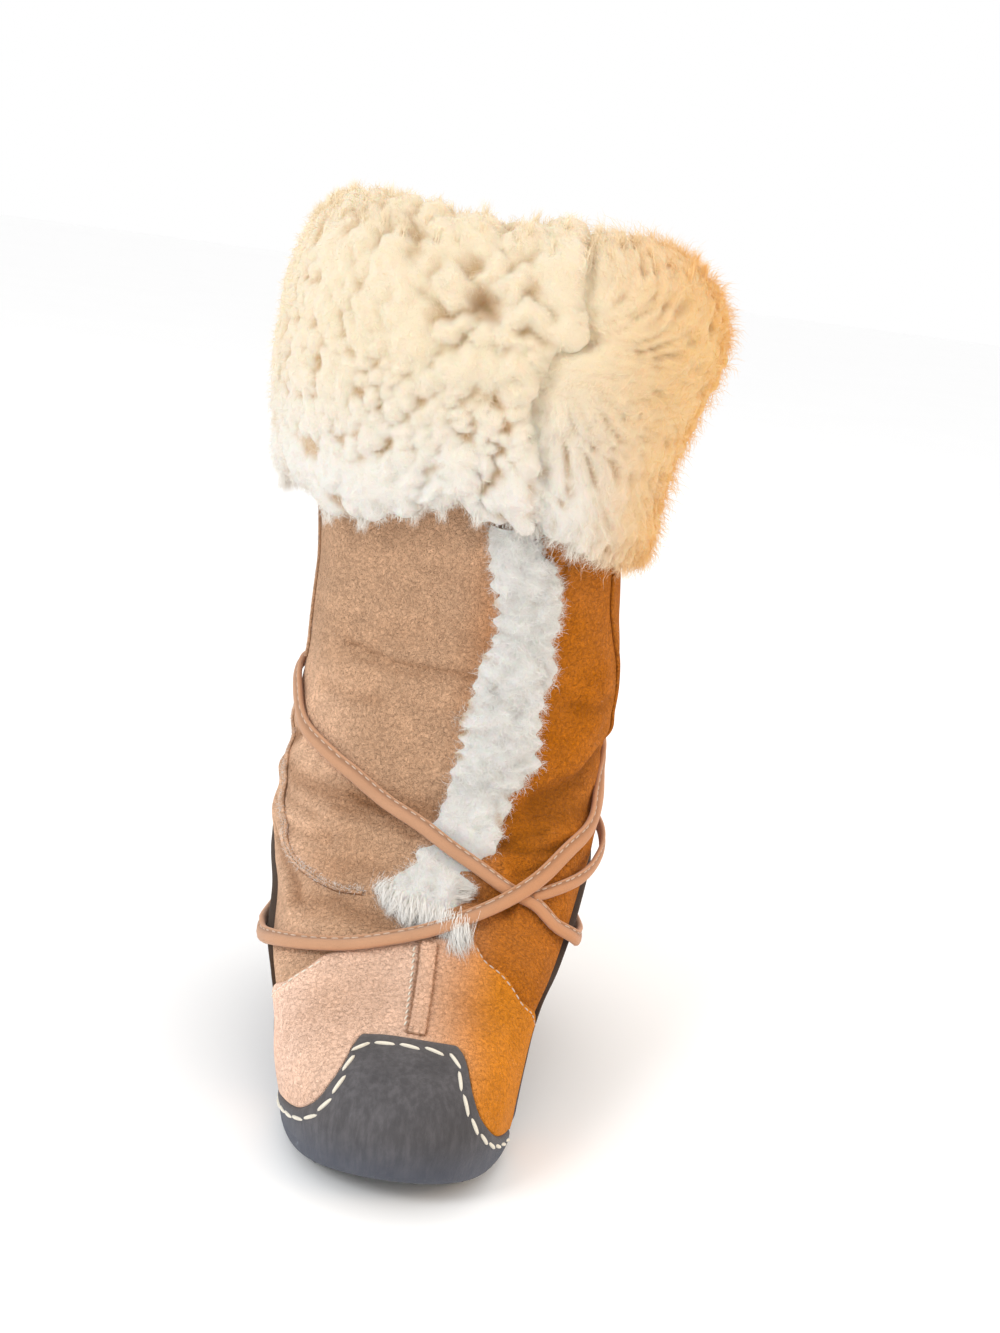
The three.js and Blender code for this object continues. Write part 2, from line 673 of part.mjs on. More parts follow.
function makeFrontFleece() {
  const bottom = fleeceEdges[0].height;
  const top = fleeceEdges[fleeceEdges.length - 1].height;
  const edges = (height) => ["from", "to"].map((side) => readTable(fleeceEdges, "height", side, height));
  const polygons = spread(bottom, top, FLEECE_ROWS).map((height, row) => {
    const [from, to] = edges(height);
    const z = height * INSTEP_HEIGHT;
    const swell = 1 + FLEECE_SWELL * Math.sin(row * SWELL_PITCH);
    const over = fleeceDome.map((share, i) => {
      const turn = lerp(from, to, i / (fleeceDome.length - 1));
      return stand(offset(turn, z, share * swell * FLEECE_EDGE));
    });
    const under = fleeceDome.map((_, i) => stand(offset(lerp(from, to, i / (fleeceDome.length - 1)), z, BITE)));
    return [...over, ...under.reverse()];
  });
  let fleece = toManifold(sweep(polygons, false));
  for (let i = 0; i < stripLocks.count; i++) {
    const height = lerp(bottom, top, (i + 0.6) / (stripLocks.count + 0.2));
    const [from, to] = edges(height);
    const turn = lerp(from, to, 0.12 + 0.76 * scatter(i, 1));
    const middle = stand(offset(turn, height * INSTEP_HEIGHT, FLEECE_EDGE * stripLocks.stand));
    const lean = new THREE.Vector3(scatter(i, 2) - 0.5, -0.3, scatter(i, 3) - 0.5).normalize();
    fleece = fleece.add(lock(middle, lean, FLEECE_EDGE * stripLocks.width, FLEECE_EDGE * stripLocks.length));
  }
  const groove = laceSolid(LACE_WIDTH + 2 * GAP, 2 * FLEECE_EDGE, squareSection, GAP);
  return fromManifold(fleece.subtract(upperForm).subtract(groove));
}

// Height of the cuff's lower edge round the boot, as a share of the collar's height.
const cuffHem = [
  { turn: -0.25, height: 0.688 },
  { turn: -0.138, height: 0.7 },
  { turn: -0.11, height: 0.68 },
  { turn: -0.048, height: 0.695 },
  { turn: -0.01, height: 0.715 },
  { turn: 0.01, height: 0.705 },
  { turn: 0.04, height: 0.697 },
  { turn: 0.08, height: 0.675 },
  { turn: 0.12, height: 0.657 },
  { turn: 0.17, height: 0.65 },
  { turn: 0.3, height: 0.65 },
  { turn: 0.5, height: 0.668 },
  { turn: 0.75, height: 0.688 },
];

// Outline of the cuff's section. Rise runs from the hem (0) to the collar (1) and past it over the fold.
// Out is the distance from the shaft as a share of the fleece's depth, for the inner and the outer side.
const cuffProfile = [
  { rise: 0.02, medial: 0.3, lateral: 0.24 },
  { rise: -0.02, medial: 0.52, lateral: 0.36 },
  { rise: 0.06, medial: 0.76, lateral: 0.48 },
  { rise: 0.25, medial: 0.86, lateral: 0.58 },
  { rise: 0.5, medial: 0.88, lateral: 0.85 },
  { rise: 0.76, medial: 0.8, lateral: 1.12 },
  { rise: 0.95, medial: 0.6, lateral: 0.95 },
  { rise: 1.06, medial: 0.38, lateral: 0.6 },
  { rise: 1.11, medial: 0.14, lateral: 0.2 },
];

const SPLIT_TURN = 0.052;
const SPLIT_WIDTH = 0.007;
const PARTING = 0.42;
const CROWN_TURN = -0.12;

// Locks of the fleece on the cuff's face, hem and rim. Widths and lengths are shares of the fleece's
// depth, and pull is how far they lean down or up.
const faceLocks = { count: 20, width: 0.45, length: 0.6, pull: -0.4 };
const hemLocks = { count: 14, width: 0.34, length: 0.6, pull: -2 };
const rimLocks = { count: 10, width: 0.42, length: 0.5, pull: 1.6 };

const wrapped = (turn) => ((turn + 0.25 + 1) % 1) - 0.25;
const hemHeight = (turn) => readTable(cuffHem, "turn", "height", wrapped(turn)) * COLLAR_HEIGHT;

// The fold stands higher over the front of the inner side than over the back of the outer one.
const crown = (turn) => CUFF_CROWN * Math.cos((turn - CROWN_TURN) * 2 * Math.PI);

// A point of the cuff's outer face. The fleece parts at the front split.
function cuffPoint(turn, row, depth = 1) {
  const hem = hemHeight(turn);
  const lateral = 0.5 + 0.5 * Math.sin(turn * 2 * Math.PI);
  const split = SPLIT_TURN + 0.02 * row.rise;
  const parting = 1 - PARTING * Math.exp(-(((wrapped(turn) - split) / SPLIT_WIDTH) ** 2));
  const out = lerp(row.medial, row.lateral, lateral) * CUFF_FLEECE * parting * depth;
  const lift = crown(turn) * THREE.MathUtils.smoothstep(row.rise, 0.7, 1.1);
  return offset(turn, lerp(hem, COLLAR_HEIGHT, row.rise) + lift, out);
}

function makeCuff() {
  const splitTurns = [-1.6, -0.8, 0, 0.8, 1.6].map((step) => SPLIT_TURN + 0.01 + step * SPLIT_WIDTH);
  const turns = ringTurns()
    .filter((turn) => Math.abs(turn - SPLIT_TURN - 0.01) > 2.4 * SPLIT_WIDTH)
    .concat(splitTurns)
    .sort((a, b) => a - b);
  const lip = COLLAR_HEIGHT + GAP;
  const inside = 2 * GAP;
  const highestHem = Math.max(...cuffHem.map((row) => row.height)) * COLLAR_HEIGHT;
  const shaftRows = upperRows.filter((z) => z > highestHem + CUFF_LIP && z < COLLAR_HEIGHT).reverse();
  const polygons = turns.map((turn) => [
    offset(turn, hemHeight(turn) + CUFF_LIP / 2, inside),
    ...cuffProfile.map((row) => cuffPoint(turn, row)),
    offset(turn, lip + CUFF_LIP + Math.min(crown(turn), 0) / 2, -UPPER_WALL - GAP),
    offset(turn, lip, -UPPER_WALL - GAP),
    offset(turn, lip, inside),
    ...shaftRows.map((z) => offset(turn, z, inside)),
  ]);
  let cuff = toManifold(sweep(polygons.map((polygon) => polygon.map(stand)), true));
  const face = cuffProfile.slice(2, 7);
  for (let i = 0; i < faceLocks.count; i++) {
    const turn = scatter(i, 0);
    const rise = lerp(face[0].rise, face.at(-1).rise, (i + 1) / (faceLocks.count + 1));
    const row = {
      rise,
      medial: readTable(face, "rise", "medial", rise),
      lateral: readTable(face, "rise", "lateral", rise),
    };
    const middle = stand(cuffPoint(turn, row, 0.97));
    const out = middle.clone().sub(stand(cuffPoint(turn, row, 0.7)));
    out.z += faceLocks.pull * out.length();
    cuff = cuff.add(fleeceLock(middle, out.normalize(), faceLocks));
  }
  const [hemRow, rimRow] = [cuffProfile[1], cuffProfile.at(-2)];
  for (let i = 0; i < hemLocks.count; i++) {
    const turn = (i + 0.5 * scatter(i, 4)) / hemLocks.count;
    const middle = stand(cuffPoint(turn, { ...hemRow, rise: 0 }, 1.15));
    const down = new THREE.Vector3(scatter(i, 5) - 0.5, scatter(i, 6) - 0.5, hemLocks.pull).normalize();
    cuff = cuff.add(fleeceLock(middle, down, hemLocks));
  }
  for (let i = 0; i < rimLocks.count; i++) {
    const turn = (i + 0.5 * scatter(i, 7)) / rimLocks.count;
    const middle = stand(cuffPoint(turn, rimRow));
    const up = new THREE.Vector3(scatter(i, 8) - 0.5, scatter(i, 9) - 0.5, rimLocks.pull).normalize();
    cuff = cuff.add(fleeceLock(middle, up, rimLocks));
  }
  return fromManifold(cuff);
}

// Routes of the raised seams, with heights as shares of the instep's height.
const lateralSeam = [
  { turn: 0.17, height: 1.76 },
  { turn: 0.168, height: 1.66 },
  { turn: 0.185, height: 1.53 },
  { turn: 0.205, height: 1.4 },
  { turn: 0.215, height: 1.25 },
  { turn: 0.215, height: 1.09 },
];
const medialSeam = [
  { turn: -0.225, height: 1.9 },
  { turn: -0.23, height: 1.6 },
  { turn: -0.225, height: 1.28 },
];
const instepSeam = [
  { turn: -0.222, height: 1.14 },
  { turn: -0.215, height: 1.02 },
  { turn: -0.19, height: 0.9 },
  { turn: -0.15, height: 0.79 },
  { turn: -0.122, height: 0.71 },
  { turn: -0.096, height: 0.69 },
  { turn: -0.067, height: 0.68 },
  { turn: -0.045, height: 0.685 },
];
const vampSeam = [
  { turn: 0.006, height: 0.6 },
  { turn: 0.0065, height: 0.52 },
  { turn: 0.006, height: 0.445 },
];

function seam(route, steps, width, lift) {
  const path = route.map((row, place) => ({ place, turn: row.turn, z: row.height * INSTEP_HEIGHT, lift }));
  return fromManifold(cutToUpper(band(path, steps, width, SEAM_HEIGHT + GAP - lift)));
}

// The raised strip down the middle of the vamp.
function vampSeamStrip() {
  const lift = GAP + VAMP_THICKNESS + GAP;
  const path = vampSeam.map((row, place) => ({ place, turn: row.turn, z: row.height * INSTEP_HEIGHT, lift }));
  return band(path, 4, VAMP_SEAM_WIDTH, SEAM_HEIGHT);
}

const materials = {
  rubber: { color: 0x2f2c2a, roughness: 0.85, metalness: 0 },
  lining: { color: 0xe6dcc6, roughness: 0.95, metalness: 0 },
  suede: { color: 0xb9814a, roughness: 0.92, metalness: 0 },
  vampSuede: { color: 0xd3a27c, roughness: 0.92, metalness: 0 },
  nubuck: { color: 0x4a4540, roughness: 0.9, metalness: 0 },
  fleece: { color: 0xede6d6, roughness: 1, metalness: 0 },
  leather: { color: 0xc98f68, roughness: 0.7, metalness: 0 },
};

const boot = new THREE.Group();

function addPiece(name, geometry, material) {
  const mesh = new THREE.Mesh(geometry, new THREE.MeshStandardMaterial(materials[material]));
  mesh.name = name;
  boot.add(mesh);
}

addPiece("outsole", makeOutsole(), "rubber");
addPiece("insole", makeInsole(), "lining");
addPiece("upper", makeUpper(), "suede");
addPiece("toe_cap", makeToeCap(), "nubuck");
addPiece("heel_counter", makeCounter(), "nubuck");
addPiece("vamp", makeVamp(), "vampSuede");
addPiece("vamp_seam", vampSeamStrip(), "vampSuede");
addPiece("seam_lateral", seam(lateralSeam, 7, SEAM_WIDTH, 0), "suede");
addPiece("seam_medial", seam(medialSeam, 5, SEAM_WIDTH, 0), "suede");
addPiece("seam_instep", seam(instepSeam, 9, SEAM_WIDTH, 0), "suede");
addPiece("front_fleece", makeFrontFleece(), "fleece");
addPiece("cuff", makeCuff(), "fleece");
addPiece("lace", makeLace(), "leather");

export default boot;
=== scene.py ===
"""Looks of a worn sheepskin mukluk boot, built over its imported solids.

Lengths in the tables and the shape functions are millimetres. Blender's own sizes are metres.
"""

import math

import bpy
import numpy as np
from mathutils import Matrix, Vector


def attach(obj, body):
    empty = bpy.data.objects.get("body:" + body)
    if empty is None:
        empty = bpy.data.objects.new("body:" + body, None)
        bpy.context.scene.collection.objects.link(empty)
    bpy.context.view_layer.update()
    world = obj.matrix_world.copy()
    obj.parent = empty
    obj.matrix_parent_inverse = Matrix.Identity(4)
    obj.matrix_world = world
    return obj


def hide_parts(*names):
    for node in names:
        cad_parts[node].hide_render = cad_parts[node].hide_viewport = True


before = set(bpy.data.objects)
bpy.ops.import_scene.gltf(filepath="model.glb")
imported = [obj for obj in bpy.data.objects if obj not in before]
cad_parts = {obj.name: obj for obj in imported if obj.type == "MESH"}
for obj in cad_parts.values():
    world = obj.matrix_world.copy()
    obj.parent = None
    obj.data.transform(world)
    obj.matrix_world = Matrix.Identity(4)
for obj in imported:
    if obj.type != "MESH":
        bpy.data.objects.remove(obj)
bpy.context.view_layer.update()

bl_info = {
    "name": "Mukluk boot looks",
    "version": (1, 0, 0),
    "blender": (4, 5, 0),
    "location": "View3D > Sidebar > Mukluk boot",
    "description": "Suede, fleece, nubuck, stitching and creases for a mukluk boot",
    "category": "Object",
}

MM = 0.001
BODY = "root"

# The boot's driving sizes, as its solids have them
SOLE_LENGTH = 260
BALL_WIDTH = 98
SHAFT_WIDTH = 140
SHAFT_DEPTH = 108
INSTEP_HEIGHT = 124
COLLAR_HEIGHT = 350
SOLE_THICKNESS = 9
TOE_SPRING = 9
ARCH_RISE = 3
HEEL_WEDGE = 4
UPPER_WALL = 3
INSOLE_THICKNESS = 4
VAMP_THICKNESS = 1.5
RAND_THICKNESS = 2.2
RAND_FOOT = 2.5
RAND_TUCK = 4
GAP = 0.35
LACE_WIDTH = 7
LACE_THICKNESS = 3.6
LACE_STITCH_PITCH = 4.6
SEAM_HEIGHT = 1.2
SEAM_WIDTH = 3.4
VAMP_SEAM_WIDTH = 7
FLEECE_EDGE = 8
CUFF_FLEECE = 30
CUFF_CROWN = 6
CROWN_TURN = -0.12
CORNER_DROP = 3.5
LINING_DROP = 30
FEATHER = SOLE_THICKNESS + GAP
SHAFT_MIDDLE = SOLE_LENGTH * 0.49 - SHAFT_DEPTH / 2
SHAFT_RADIUS = 62
CUFF_RADIUS = 88
GIRTH = 2 * math.pi * SHAFT_RADIUS
CUFF_GIRTH = 2 * math.pi * CUFF_RADIUS

# How high the leather rises beside a crease, as a share of its depth, and how far it sways elsewhere
LIP_SHARE = 0.35
SWAY_HEIGHT = 0.55

# Wool fibres: bands along each, the points that this gives, and how many lie on the fleece
FIBRE_BANDS = 3
FIBRE_POINTS = 2 * FIBRE_BANDS + 1
CUFF_FIBRES = 28000
FRONT_FIBRES = 20000
FRINGE_FIBRES = 60
TUFT_FIBRES = 300


def table(columns, *rows):
    """A table with named columns, as one array for each column."""
    return {name: np.array(values, float) for name, values in zip(columns.split(), zip(*rows))}


def read_table(rows, key, column, place):
    """A column at a place, on a smooth curve that never overshoots its rows."""
    knots = rows[key]
    values = rows[column]
    slopes = np.diff(values) / np.diff(knots)
    before = slopes[:-1]
    after = slopes[1:]
    total = np.where(before + after == 0, 1, before + after)
    inner = np.where(before * after > 0, 2 * before * after / total, 0)
    tangents = np.concatenate([slopes[:1], inner, slopes[-1:]])
    held = np.clip(place, knots[0], knots[-1])
    row = np.clip(np.searchsorted(knots, held, side="right") - 1, 0, len(knots) - 2)
    width = knots[row + 1] - knots[row]
    x = (held - knots[row]) / width
    rise = values[row + 1] - values[row]
    start = tangents[row] * width
    end = tangents[row + 1] * width
    return values[row] + x * (start + x * (3 * rise - 2 * start - end + x * (start + end - 2 * rise)))


# The boot seen from above: half widths at shares of the way from toe to heel, as shares of an ellipse's,
# for the foot's outer and inner side and for the slack ankle and shaft
OUTLINES = table(
    "along lateral medial slack",
    (0.0, 1.5, 1.5, 1.32),
    (0.14, 1.2, 1.22, 1.17),
    (0.32, 1.04, 1.03, 1.03),
    (0.55, 0.9, 0.76, 1.0),
    (0.78, 0.92, 0.86, 1.0),
    (0.9, 1.12, 1.12, 1.1),
    (1.0, 1.42, 1.42, 1.28),
)

# The foot's sections: height as a share of the way up to the instep, toe and heel of the sole's length,
# half widths of the ball's width, and how far the foot's own outline counts
FOOT = table(
    "height toe heel lateral medial foot",
    (0.0, -0.495, 0.495, 0.49, 0.505, 1.0),
    (0.09, -0.501, 0.503, 0.495, 0.535, 0.95),
    (0.18, -0.493, 0.505, 0.505, 0.565, 0.8),
    (0.27, -0.462, 0.505, 0.52, 0.585, 0.6),
    (0.355, -0.395, 0.504, 0.555, 0.63, 0.45),
    (0.44, -0.31, 0.502, 0.62, 0.68, 0.3),
    (0.53, -0.225, 0.5, 0.67, 0.695, 0.2),
    (0.62, -0.14, 0.498, 0.7, 0.735, 0.1),
    (0.73, -0.055, 0.496, 0.735, 0.77, 0.0),
    (0.87, 0.015, 0.494, 0.75, 0.765, 0.0),
)

# The shaft's sections: height as a share of the way from instep to collar, half widths of half the
# shaft's width, and depth and forward shift of its depth
SHAFT = table(
    "height lateral medial depth forward",
    (0.0, 1.0, 1.03, 1.03, 0.01),
    (0.09, 1.04, 1.01, 1.0, 0.0),
    (0.2, 1.05, 0.975, 0.98, 0.0),
    (0.34, 1.0, 0.97, 0.98, 0.0),
    (0.47, 0.95, 1.0, 1.0, 0.01),
    (0.7, 0.94, 1.02, 1.02, 0.01),
    (1.0, 0.94, 1.03, 1.05, 0.02),
)

# Foot and shaft as one set of sections up the boot, in millimetres
CONTOURS = {
    "z": np.concatenate([
        FEATHER + FOOT["height"] * (INSTEP_HEIGHT - FEATHER),
        INSTEP_HEIGHT + SHAFT["height"] * (COLLAR_HEIGHT - INSTEP_HEIGHT),
    ]),
    "toe": np.concatenate([
        FOOT["toe"] * SOLE_LENGTH,
        SHAFT_MIDDLE - (SHAFT["depth"] / 2 + SHAFT["forward"]) * SHAFT_DEPTH,
    ]),
    "heel": np.concatenate([
        FOOT["heel"] * SOLE_LENGTH,
        SHAFT_MIDDLE + (SHAFT["depth"] / 2 - SHAFT["forward"]) * SHAFT_DEPTH,
    ]),
    "lateral": np.concatenate([FOOT["lateral"] * BALL_WIDTH, SHAFT["lateral"] * SHAFT_WIDTH / 2]),
    "medial": np.concatenate([FOOT["medial"] * BALL_WIDTH, SHAFT["medial"] * SHAFT_WIDTH / 2]),
    "foot": np.concatenate([FOOT["foot"], 0 * SHAFT["height"]]),
}


def lerp(a, b, share):
    """A value at a share of the way from a to b."""
    return a + (b - a) * share


def smoothstep(value, low, high):
    """Runs smoothly from 0 at low to 1 at high."""
    x = np.clip((value - low) / (high - low), 0, 1)
    return x * x * (3 - 2 * x)


def unit(vectors):
    """The vectors made one long."""
    return vectors / np.maximum(np.linalg.norm(vectors, axis=-1, keepdims=True), 1e-9)


def surface(turn, z):
    """The boot's outer surface before it stands on its sole. Turn 0 is the toe, 0.25 the outer side."""
    turn, z = np.broadcast_arrays(np.asarray(turn, float), np.asarray(z, float))
    angle = turn * 2 * math.pi
    along = (1 - np.cos(angle)) / 2
    outer = np.sin(angle) >= 0
    lateral = read_table(CONTOURS, "z", "lateral", z)
    half = np.where(outer, lateral, read_table(CONTOURS, "z", "medial", z))
    side = np.where(
        outer,
        read_table(OUTLINES, "along", "lateral", along),
        read_table(OUTLINES, "along", "medial", along),
    )
    slack = read_table(OUTLINES, "along", "slack", along)
    x = half * np.sin(angle) * lerp(slack, side, read_table(CONTOURS, "z", "foot", z))
    y = lerp(read_table(CONTOURS, "z", "toe", z), read_table(CONTOURS, "z", "heel", z), along)
    return np.stack([x, y, z], axis=-1)


def offset(turn, z, distance):
    """A point at a distance outside the surface. At the collar and the sole it moves level."""
    turn, z = np.broadcast_arrays(np.asarray(turn, float), np.asarray(z, float))
    held = np.clip(z, FEATHER, COLLAR_HEIGHT)
    around = surface(turn + 0.002, held) - surface(turn - 0.002, held)
    low = np.maximum(held - 1, FEATHER)
    high = np.minimum(held + 1, COLLAR_HEIGHT)
    normal = unit(np.cross(around, surface(turn, high) - surface(turn, low)))
    normal[..., 2] *= np.clip(np.minimum(held - FEATHER, COLLAR_HEIGHT - held) / 3, 0, 1)
    point = surface(turn, held) + unit(normal) * np.asarray(distance)[..., None]
    point[..., 2] += z - held
    return point


def toe_spring(along):
    """How high the sole's toe end curves off the ground, at shares of the sole's length."""
    return TOE_SPRING * np.clip((0.24 - along) / 0.24, 0, 1.1) ** 2


def stand(points):
    """Sets points on the sole: everything over the footbed rises with it."""
    along = points[..., 1] / SOLE_LENGTH + 0.5
    arch = ARCH_RISE * (smoothstep(along, 0.53, 0.6) - smoothstep(along, 0.66, 0.73))
    ground = toe_spring(along) + arch
    footbed = toe_spring(along) + HEEL_WEDGE * smoothstep(along, 0.35, 0.75)
    rise = lerp(ground, footbed, np.clip(points[..., 2] / SOLE_THICKNESS, 0, 1))
    return points + np.stack([0 * rise, 0 * rise, rise], axis=-1)


# Creases of the worn leather: width and depth in millimetres, and a route of turns and heights, as
# shares of the instep's height. A negative depth is a soft ridge.
CREASES = (
    (1.5, 1.1, (-0.1, 1.43), (-0.074, 1.413), (-0.051, 1.392), (-0.012, 1.396), (0.013, 1.379)),
    (2.0, 0.6, (-0.09, 1.385), (-0.05, 1.36), (-0.01, 1.365)),
    (3.0, 0.7, (-0.13, 1.25), (-0.09, 1.235), (-0.06, 1.245)),
    (2.0, 0.9, (-0.2, 0.78), (-0.16, 0.765), (-0.12, 0.77), (-0.08, 0.785)),
    (2.4, 0.9, (-0.18, 0.86), (-0.14, 0.84), (-0.1, 0.83)),
    (3.5, 1.0, (0.1, 1.3), (0.14, 1.27), (0.19, 1.29)),
    (2.2, 1.2, (0.07, 0.77), (0.1, 0.78), (0.14, 0.81)),
    (4.5, 2.6, (0.077, 0.959), (0.093, 0.976), (0.14, 1.02), (0.17, 1.069), (0.23, 1.11)),
    (8.0, -1.6, (0.079, 1.13), (0.11, 1.15), (0.15, 1.2)),
    (7.0, -1.8, (0.1, 0.9), (0.14, 0.935), (0.19, 0.97)),
    (1.8, 1.8, (0.044, 0.851), (0.063, 0.861), (0.085, 0.868)),
    (2.2, 2.0, (0.049, 0.835), (0.082, 0.82), (0.12, 0.83)),
    (2.4, 1.2, (-0.12, 0.615), (-0.064, 0.656), (-0.039, 0.647), (-0.023, 0.626)),
    (1.3, 0.7, (-0.1, 0.6), (-0.06, 0.63), (-0.035, 0.62)),
    (1.5, 0.7, (-0.08, 0.873), (-0.049, 0.863), (-0.012, 0.836)),
    (1.3, 0.8, (-0.07, 0.925), (-0.04, 0.89), (-0.016, 0.842)),
    (2.2, 0.6, (-0.1, 0.741), (-0.06, 0.737), (-0.028, 0.739)),
    (3.5, 1.6, (-0.2, 0.69), (-0.13, 0.681), (-0.112, 0.655)),
    (2.2, 3.2, (0.02, 0.716), (0.04, 0.714), (0.062, 0.695)),
    (1.2, 1.2, (0.088, 1.98), (0.085, 1.86), (0.083, 1.79), (0.076, 1.72)),
    (5.0, 2.0, (-0.3, 0.98), (-0.25, 0.95), (-0.2, 0.99), (-0.17, 1.05)),
    (4.0, 1.4, (-0.32, 0.8), (-0.26, 0.79), (-0.21, 0.83)),
    (6.0, 2.6, (0.29, 1.1), (0.36, 1.0), (0.45, 0.98), (0.52, 1.01), (0.6, 1.08)),
    (5.0, 1.8, (0.4, 1.23), (0.48, 1.17), (0.56, 1.2)),
    (4.5, 1.6, (0.24, 0.9), (0.3, 0.87), (0.38, 0.88)),
    (6.0, 1.4, (0.27, 1.45), (0.34, 1.4), (0.4, 1.43)),
    (4.5, 1.5, (0.58, 0.93), (0.65, 0.9), (0.7, 0.94)),
    (9.0, 0.9, (0.03, 0.5), (0.08, 0.47), (0.12, 0.43)),
    (9.0, 0.9, (-0.03, 0.49), (-0.07, 0.45), (-0.11, 0.4)),
)


def wrapped(turn):
    """The same turn, from a quarter before the toe to three quarters after it."""
    return np.mod(turn + 0.35, 1) - 0.35


def route_distance(turn, z, route):
    """Distance in millimetres from points of the surface to a route drawn on it."""
    u = wrapped(turn) * GIRTH
    best = np.full(np.broadcast(u, z).shape, 1e9)
    places = [(wrapped(t) * GIRTH, h * INSTEP_HEIGHT) for t, h in route]
    for (u0, z0), (u1, z1) in zip(places, places[1:]):
        length = (u1 - u0) ** 2 + (z1 - z0) ** 2
        share = np.clip(((u - u0) * (u1 - u0) + (z - z0) * (z1 - z0)) / length, 0, 1)
        best = np.minimum(best, np.hypot(u - u0 - share * (u1 - u0), z - z0 - share * (z1 - z0)))
    return best


def relief(turn, z):
    """How far the worn leather stands over the even surface, and how deep in a crease it lies, as a share
    that is painted as shade.
    """
    height = 0.0
    shade = 0.0
    for width, depth, *route in CREASES:
        away = route_distance(turn, z, route)
        trough = np.exp(-((away / width) ** 2))
        lips = np.exp(-(((away - 2 * width) / width) ** 2))
        height = height - depth * trough + LIP_SHARE * abs(depth) * lips
        shade = shade + trough * np.clip(depth / 2, 0, 1)
    sway = np.sin(turn * 31 + z * 0.05) * np.sin(z * 0.043 + np.sin(turn * 12.6) * 2)
    height = height + SWAY_HEIGHT * sway * smoothstep(z, 40, 90)
    return height * smoothstep(z, FEATHER, FEATHER + 12), np.clip(shade, 0, 1)


def boot_point(turn, z, lift):
    """A point at a height over the worn leather."""
    turn, z = np.broadcast_arrays(np.asarray(turn, float), np.asarray(z, float))
    return stand(offset(turn, z, lift + relief(turn, z)[0]))


# Making meshes


def make_piece(name, points, faces, finish, replaces, slot, values=None):
    """A mesh object from millimetre points, riding on the boot."""
    mesh = bpy.data.meshes.new(name)
    mesh.from_pydata((np.asarray(points).reshape(-1, 3) * MM).tolist(), [], faces)
    mesh.polygons.foreach_set("use_smooth", np.full(len(mesh.polygons), True))
    for key, value in (values or {}).items():
        layer = mesh.attributes.new(key, "FLOAT", "POINT")
        layer.data.foreach_set("value", np.ascontiguousarray(value, np.float32).ravel())
    mesh.update()
    piece = bpy.data.objects.new(name, mesh)
    bpy.context.scene.collection.objects.link(piece)
    mesh.materials.append(finish)
    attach(piece, BODY)
    if replaces:
        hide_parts(*replaces)


def grid_faces(rows, columns, closed=False, flip=False):
    """Faces of a grid whose points run row by row. A closed grid joins its last column to its first."""
    i, j = np.meshgrid(np.arange(rows - 1), np.arange(columns if closed else columns - 1), indexing="ij")
    k = (j + 1) % columns
    corners = [i * columns + j, i * columns + k, (i + 1) * columns + k, (i + 1) * columns + j]
    if flip:
        corners.reverse()
    return np.stack(corners, axis=-1).reshape(-1, 4).tolist()


def round_grid(low, high, rows, columns):
    """Turns and heights of a grid that runs all round, from a low height to a high one."""
    turns = (np.arange(columns) + 0.5) / columns
    return np.broadcast_arrays(turns, np.linspace(low, high, rows)[:, None])


def joined(parts):
    """Several (points, faces) meshes as one."""
    points = []
    faces = []
    count = 0
    for part_points, part_faces in parts:
        part_points = np.asarray(part_points).reshape(-1, 3)
        points.append(part_points)
        faces.extend([[corner + count for corner in face] for face in part_faces])
        count += len(part_points)
    return np.concatenate(points), faces


def rounded(away, radius):
    """Height of a rounded edge, from 0 at the edge itself to 1 at its radius."""
    return np.sqrt(1 - (1 - np.clip(away / radius, 0, 1)) ** 2)


def sheet_over(turns, low, high, lift, thickness, rows, edge):
    """A sheet with rounded edges that lies over the leather between two heights at each turn."""
    share = (1 - np.cos(np.linspace(0, math.pi, rows))) / 2
    z = low + (high - low) * share[:, None]
    turn = np.broadcast_to(turns, z.shape)
    along = np.minimum(turns - turns[0], turns[-1] - turns) * GIRTH
    away = np.minimum(np.minimum(z - low, high - z), along)
    points = boot_point(turn, z, lerp(lift - 1.2, lift + thickness, rounded(away, edge)))
    return points, grid_faces(rows, len(turns)), turn, z


def tube(centres, across, normals, section, width, thickness):
    """A band swept along a line of centres. Its section runs round in shares of width and thickness."""
    section = np.array(section)
    points = (
        centres[:, None]
        + across[:, None] * (section[:, 0] * width)[None, :, None]
        + normals[:, None] * (section[:, 1] * thickness)[None, :, None]
    )
    count = len(section)
    faces = grid_faces(len(centres), count, closed=True)
    last = (len(centres) - 1) * count
    faces.append(list(range(count))[::-1])
    faces.append([last + i for i in range(count)])
    return points.reshape(-1, 3), faces


def line_frame(centres, normals):
    """Centres of a line, directions along and across it, and its normals, all square to each other."""
    ahead = unit(np.gradient(centres, axis=0))
    across = unit(np.cross(ahead, normals))
    return centres, ahead, across, unit(np.cross(across, ahead))


def frame_along(turn, z, lift):
    """The frame of a line drawn over the leather."""
    centres = boot_point(turn, z, lift)
    return line_frame(centres, unit(boot_point(turn, z, np.asarray(lift) + 1) - centres))


def taut_frame(turn, z, lift):
    """As frame_along, for a lace that bridges the leather's creases."""
    low = stand(offset(turn, z, lift))
    high = stand(offset(turn, z, np.asarray(lift) + 1))
    reach = np.hanning(15)[1:-1]
    reach = reach / reach.sum()
    ends = len(reach) // 2
    centres = low.copy()
    for axis in range(3):
        centres[ends:-ends, axis] = np.convolve(low[:, axis], reach, mode="valid")
    return line_frame(centres, unit(high - low))


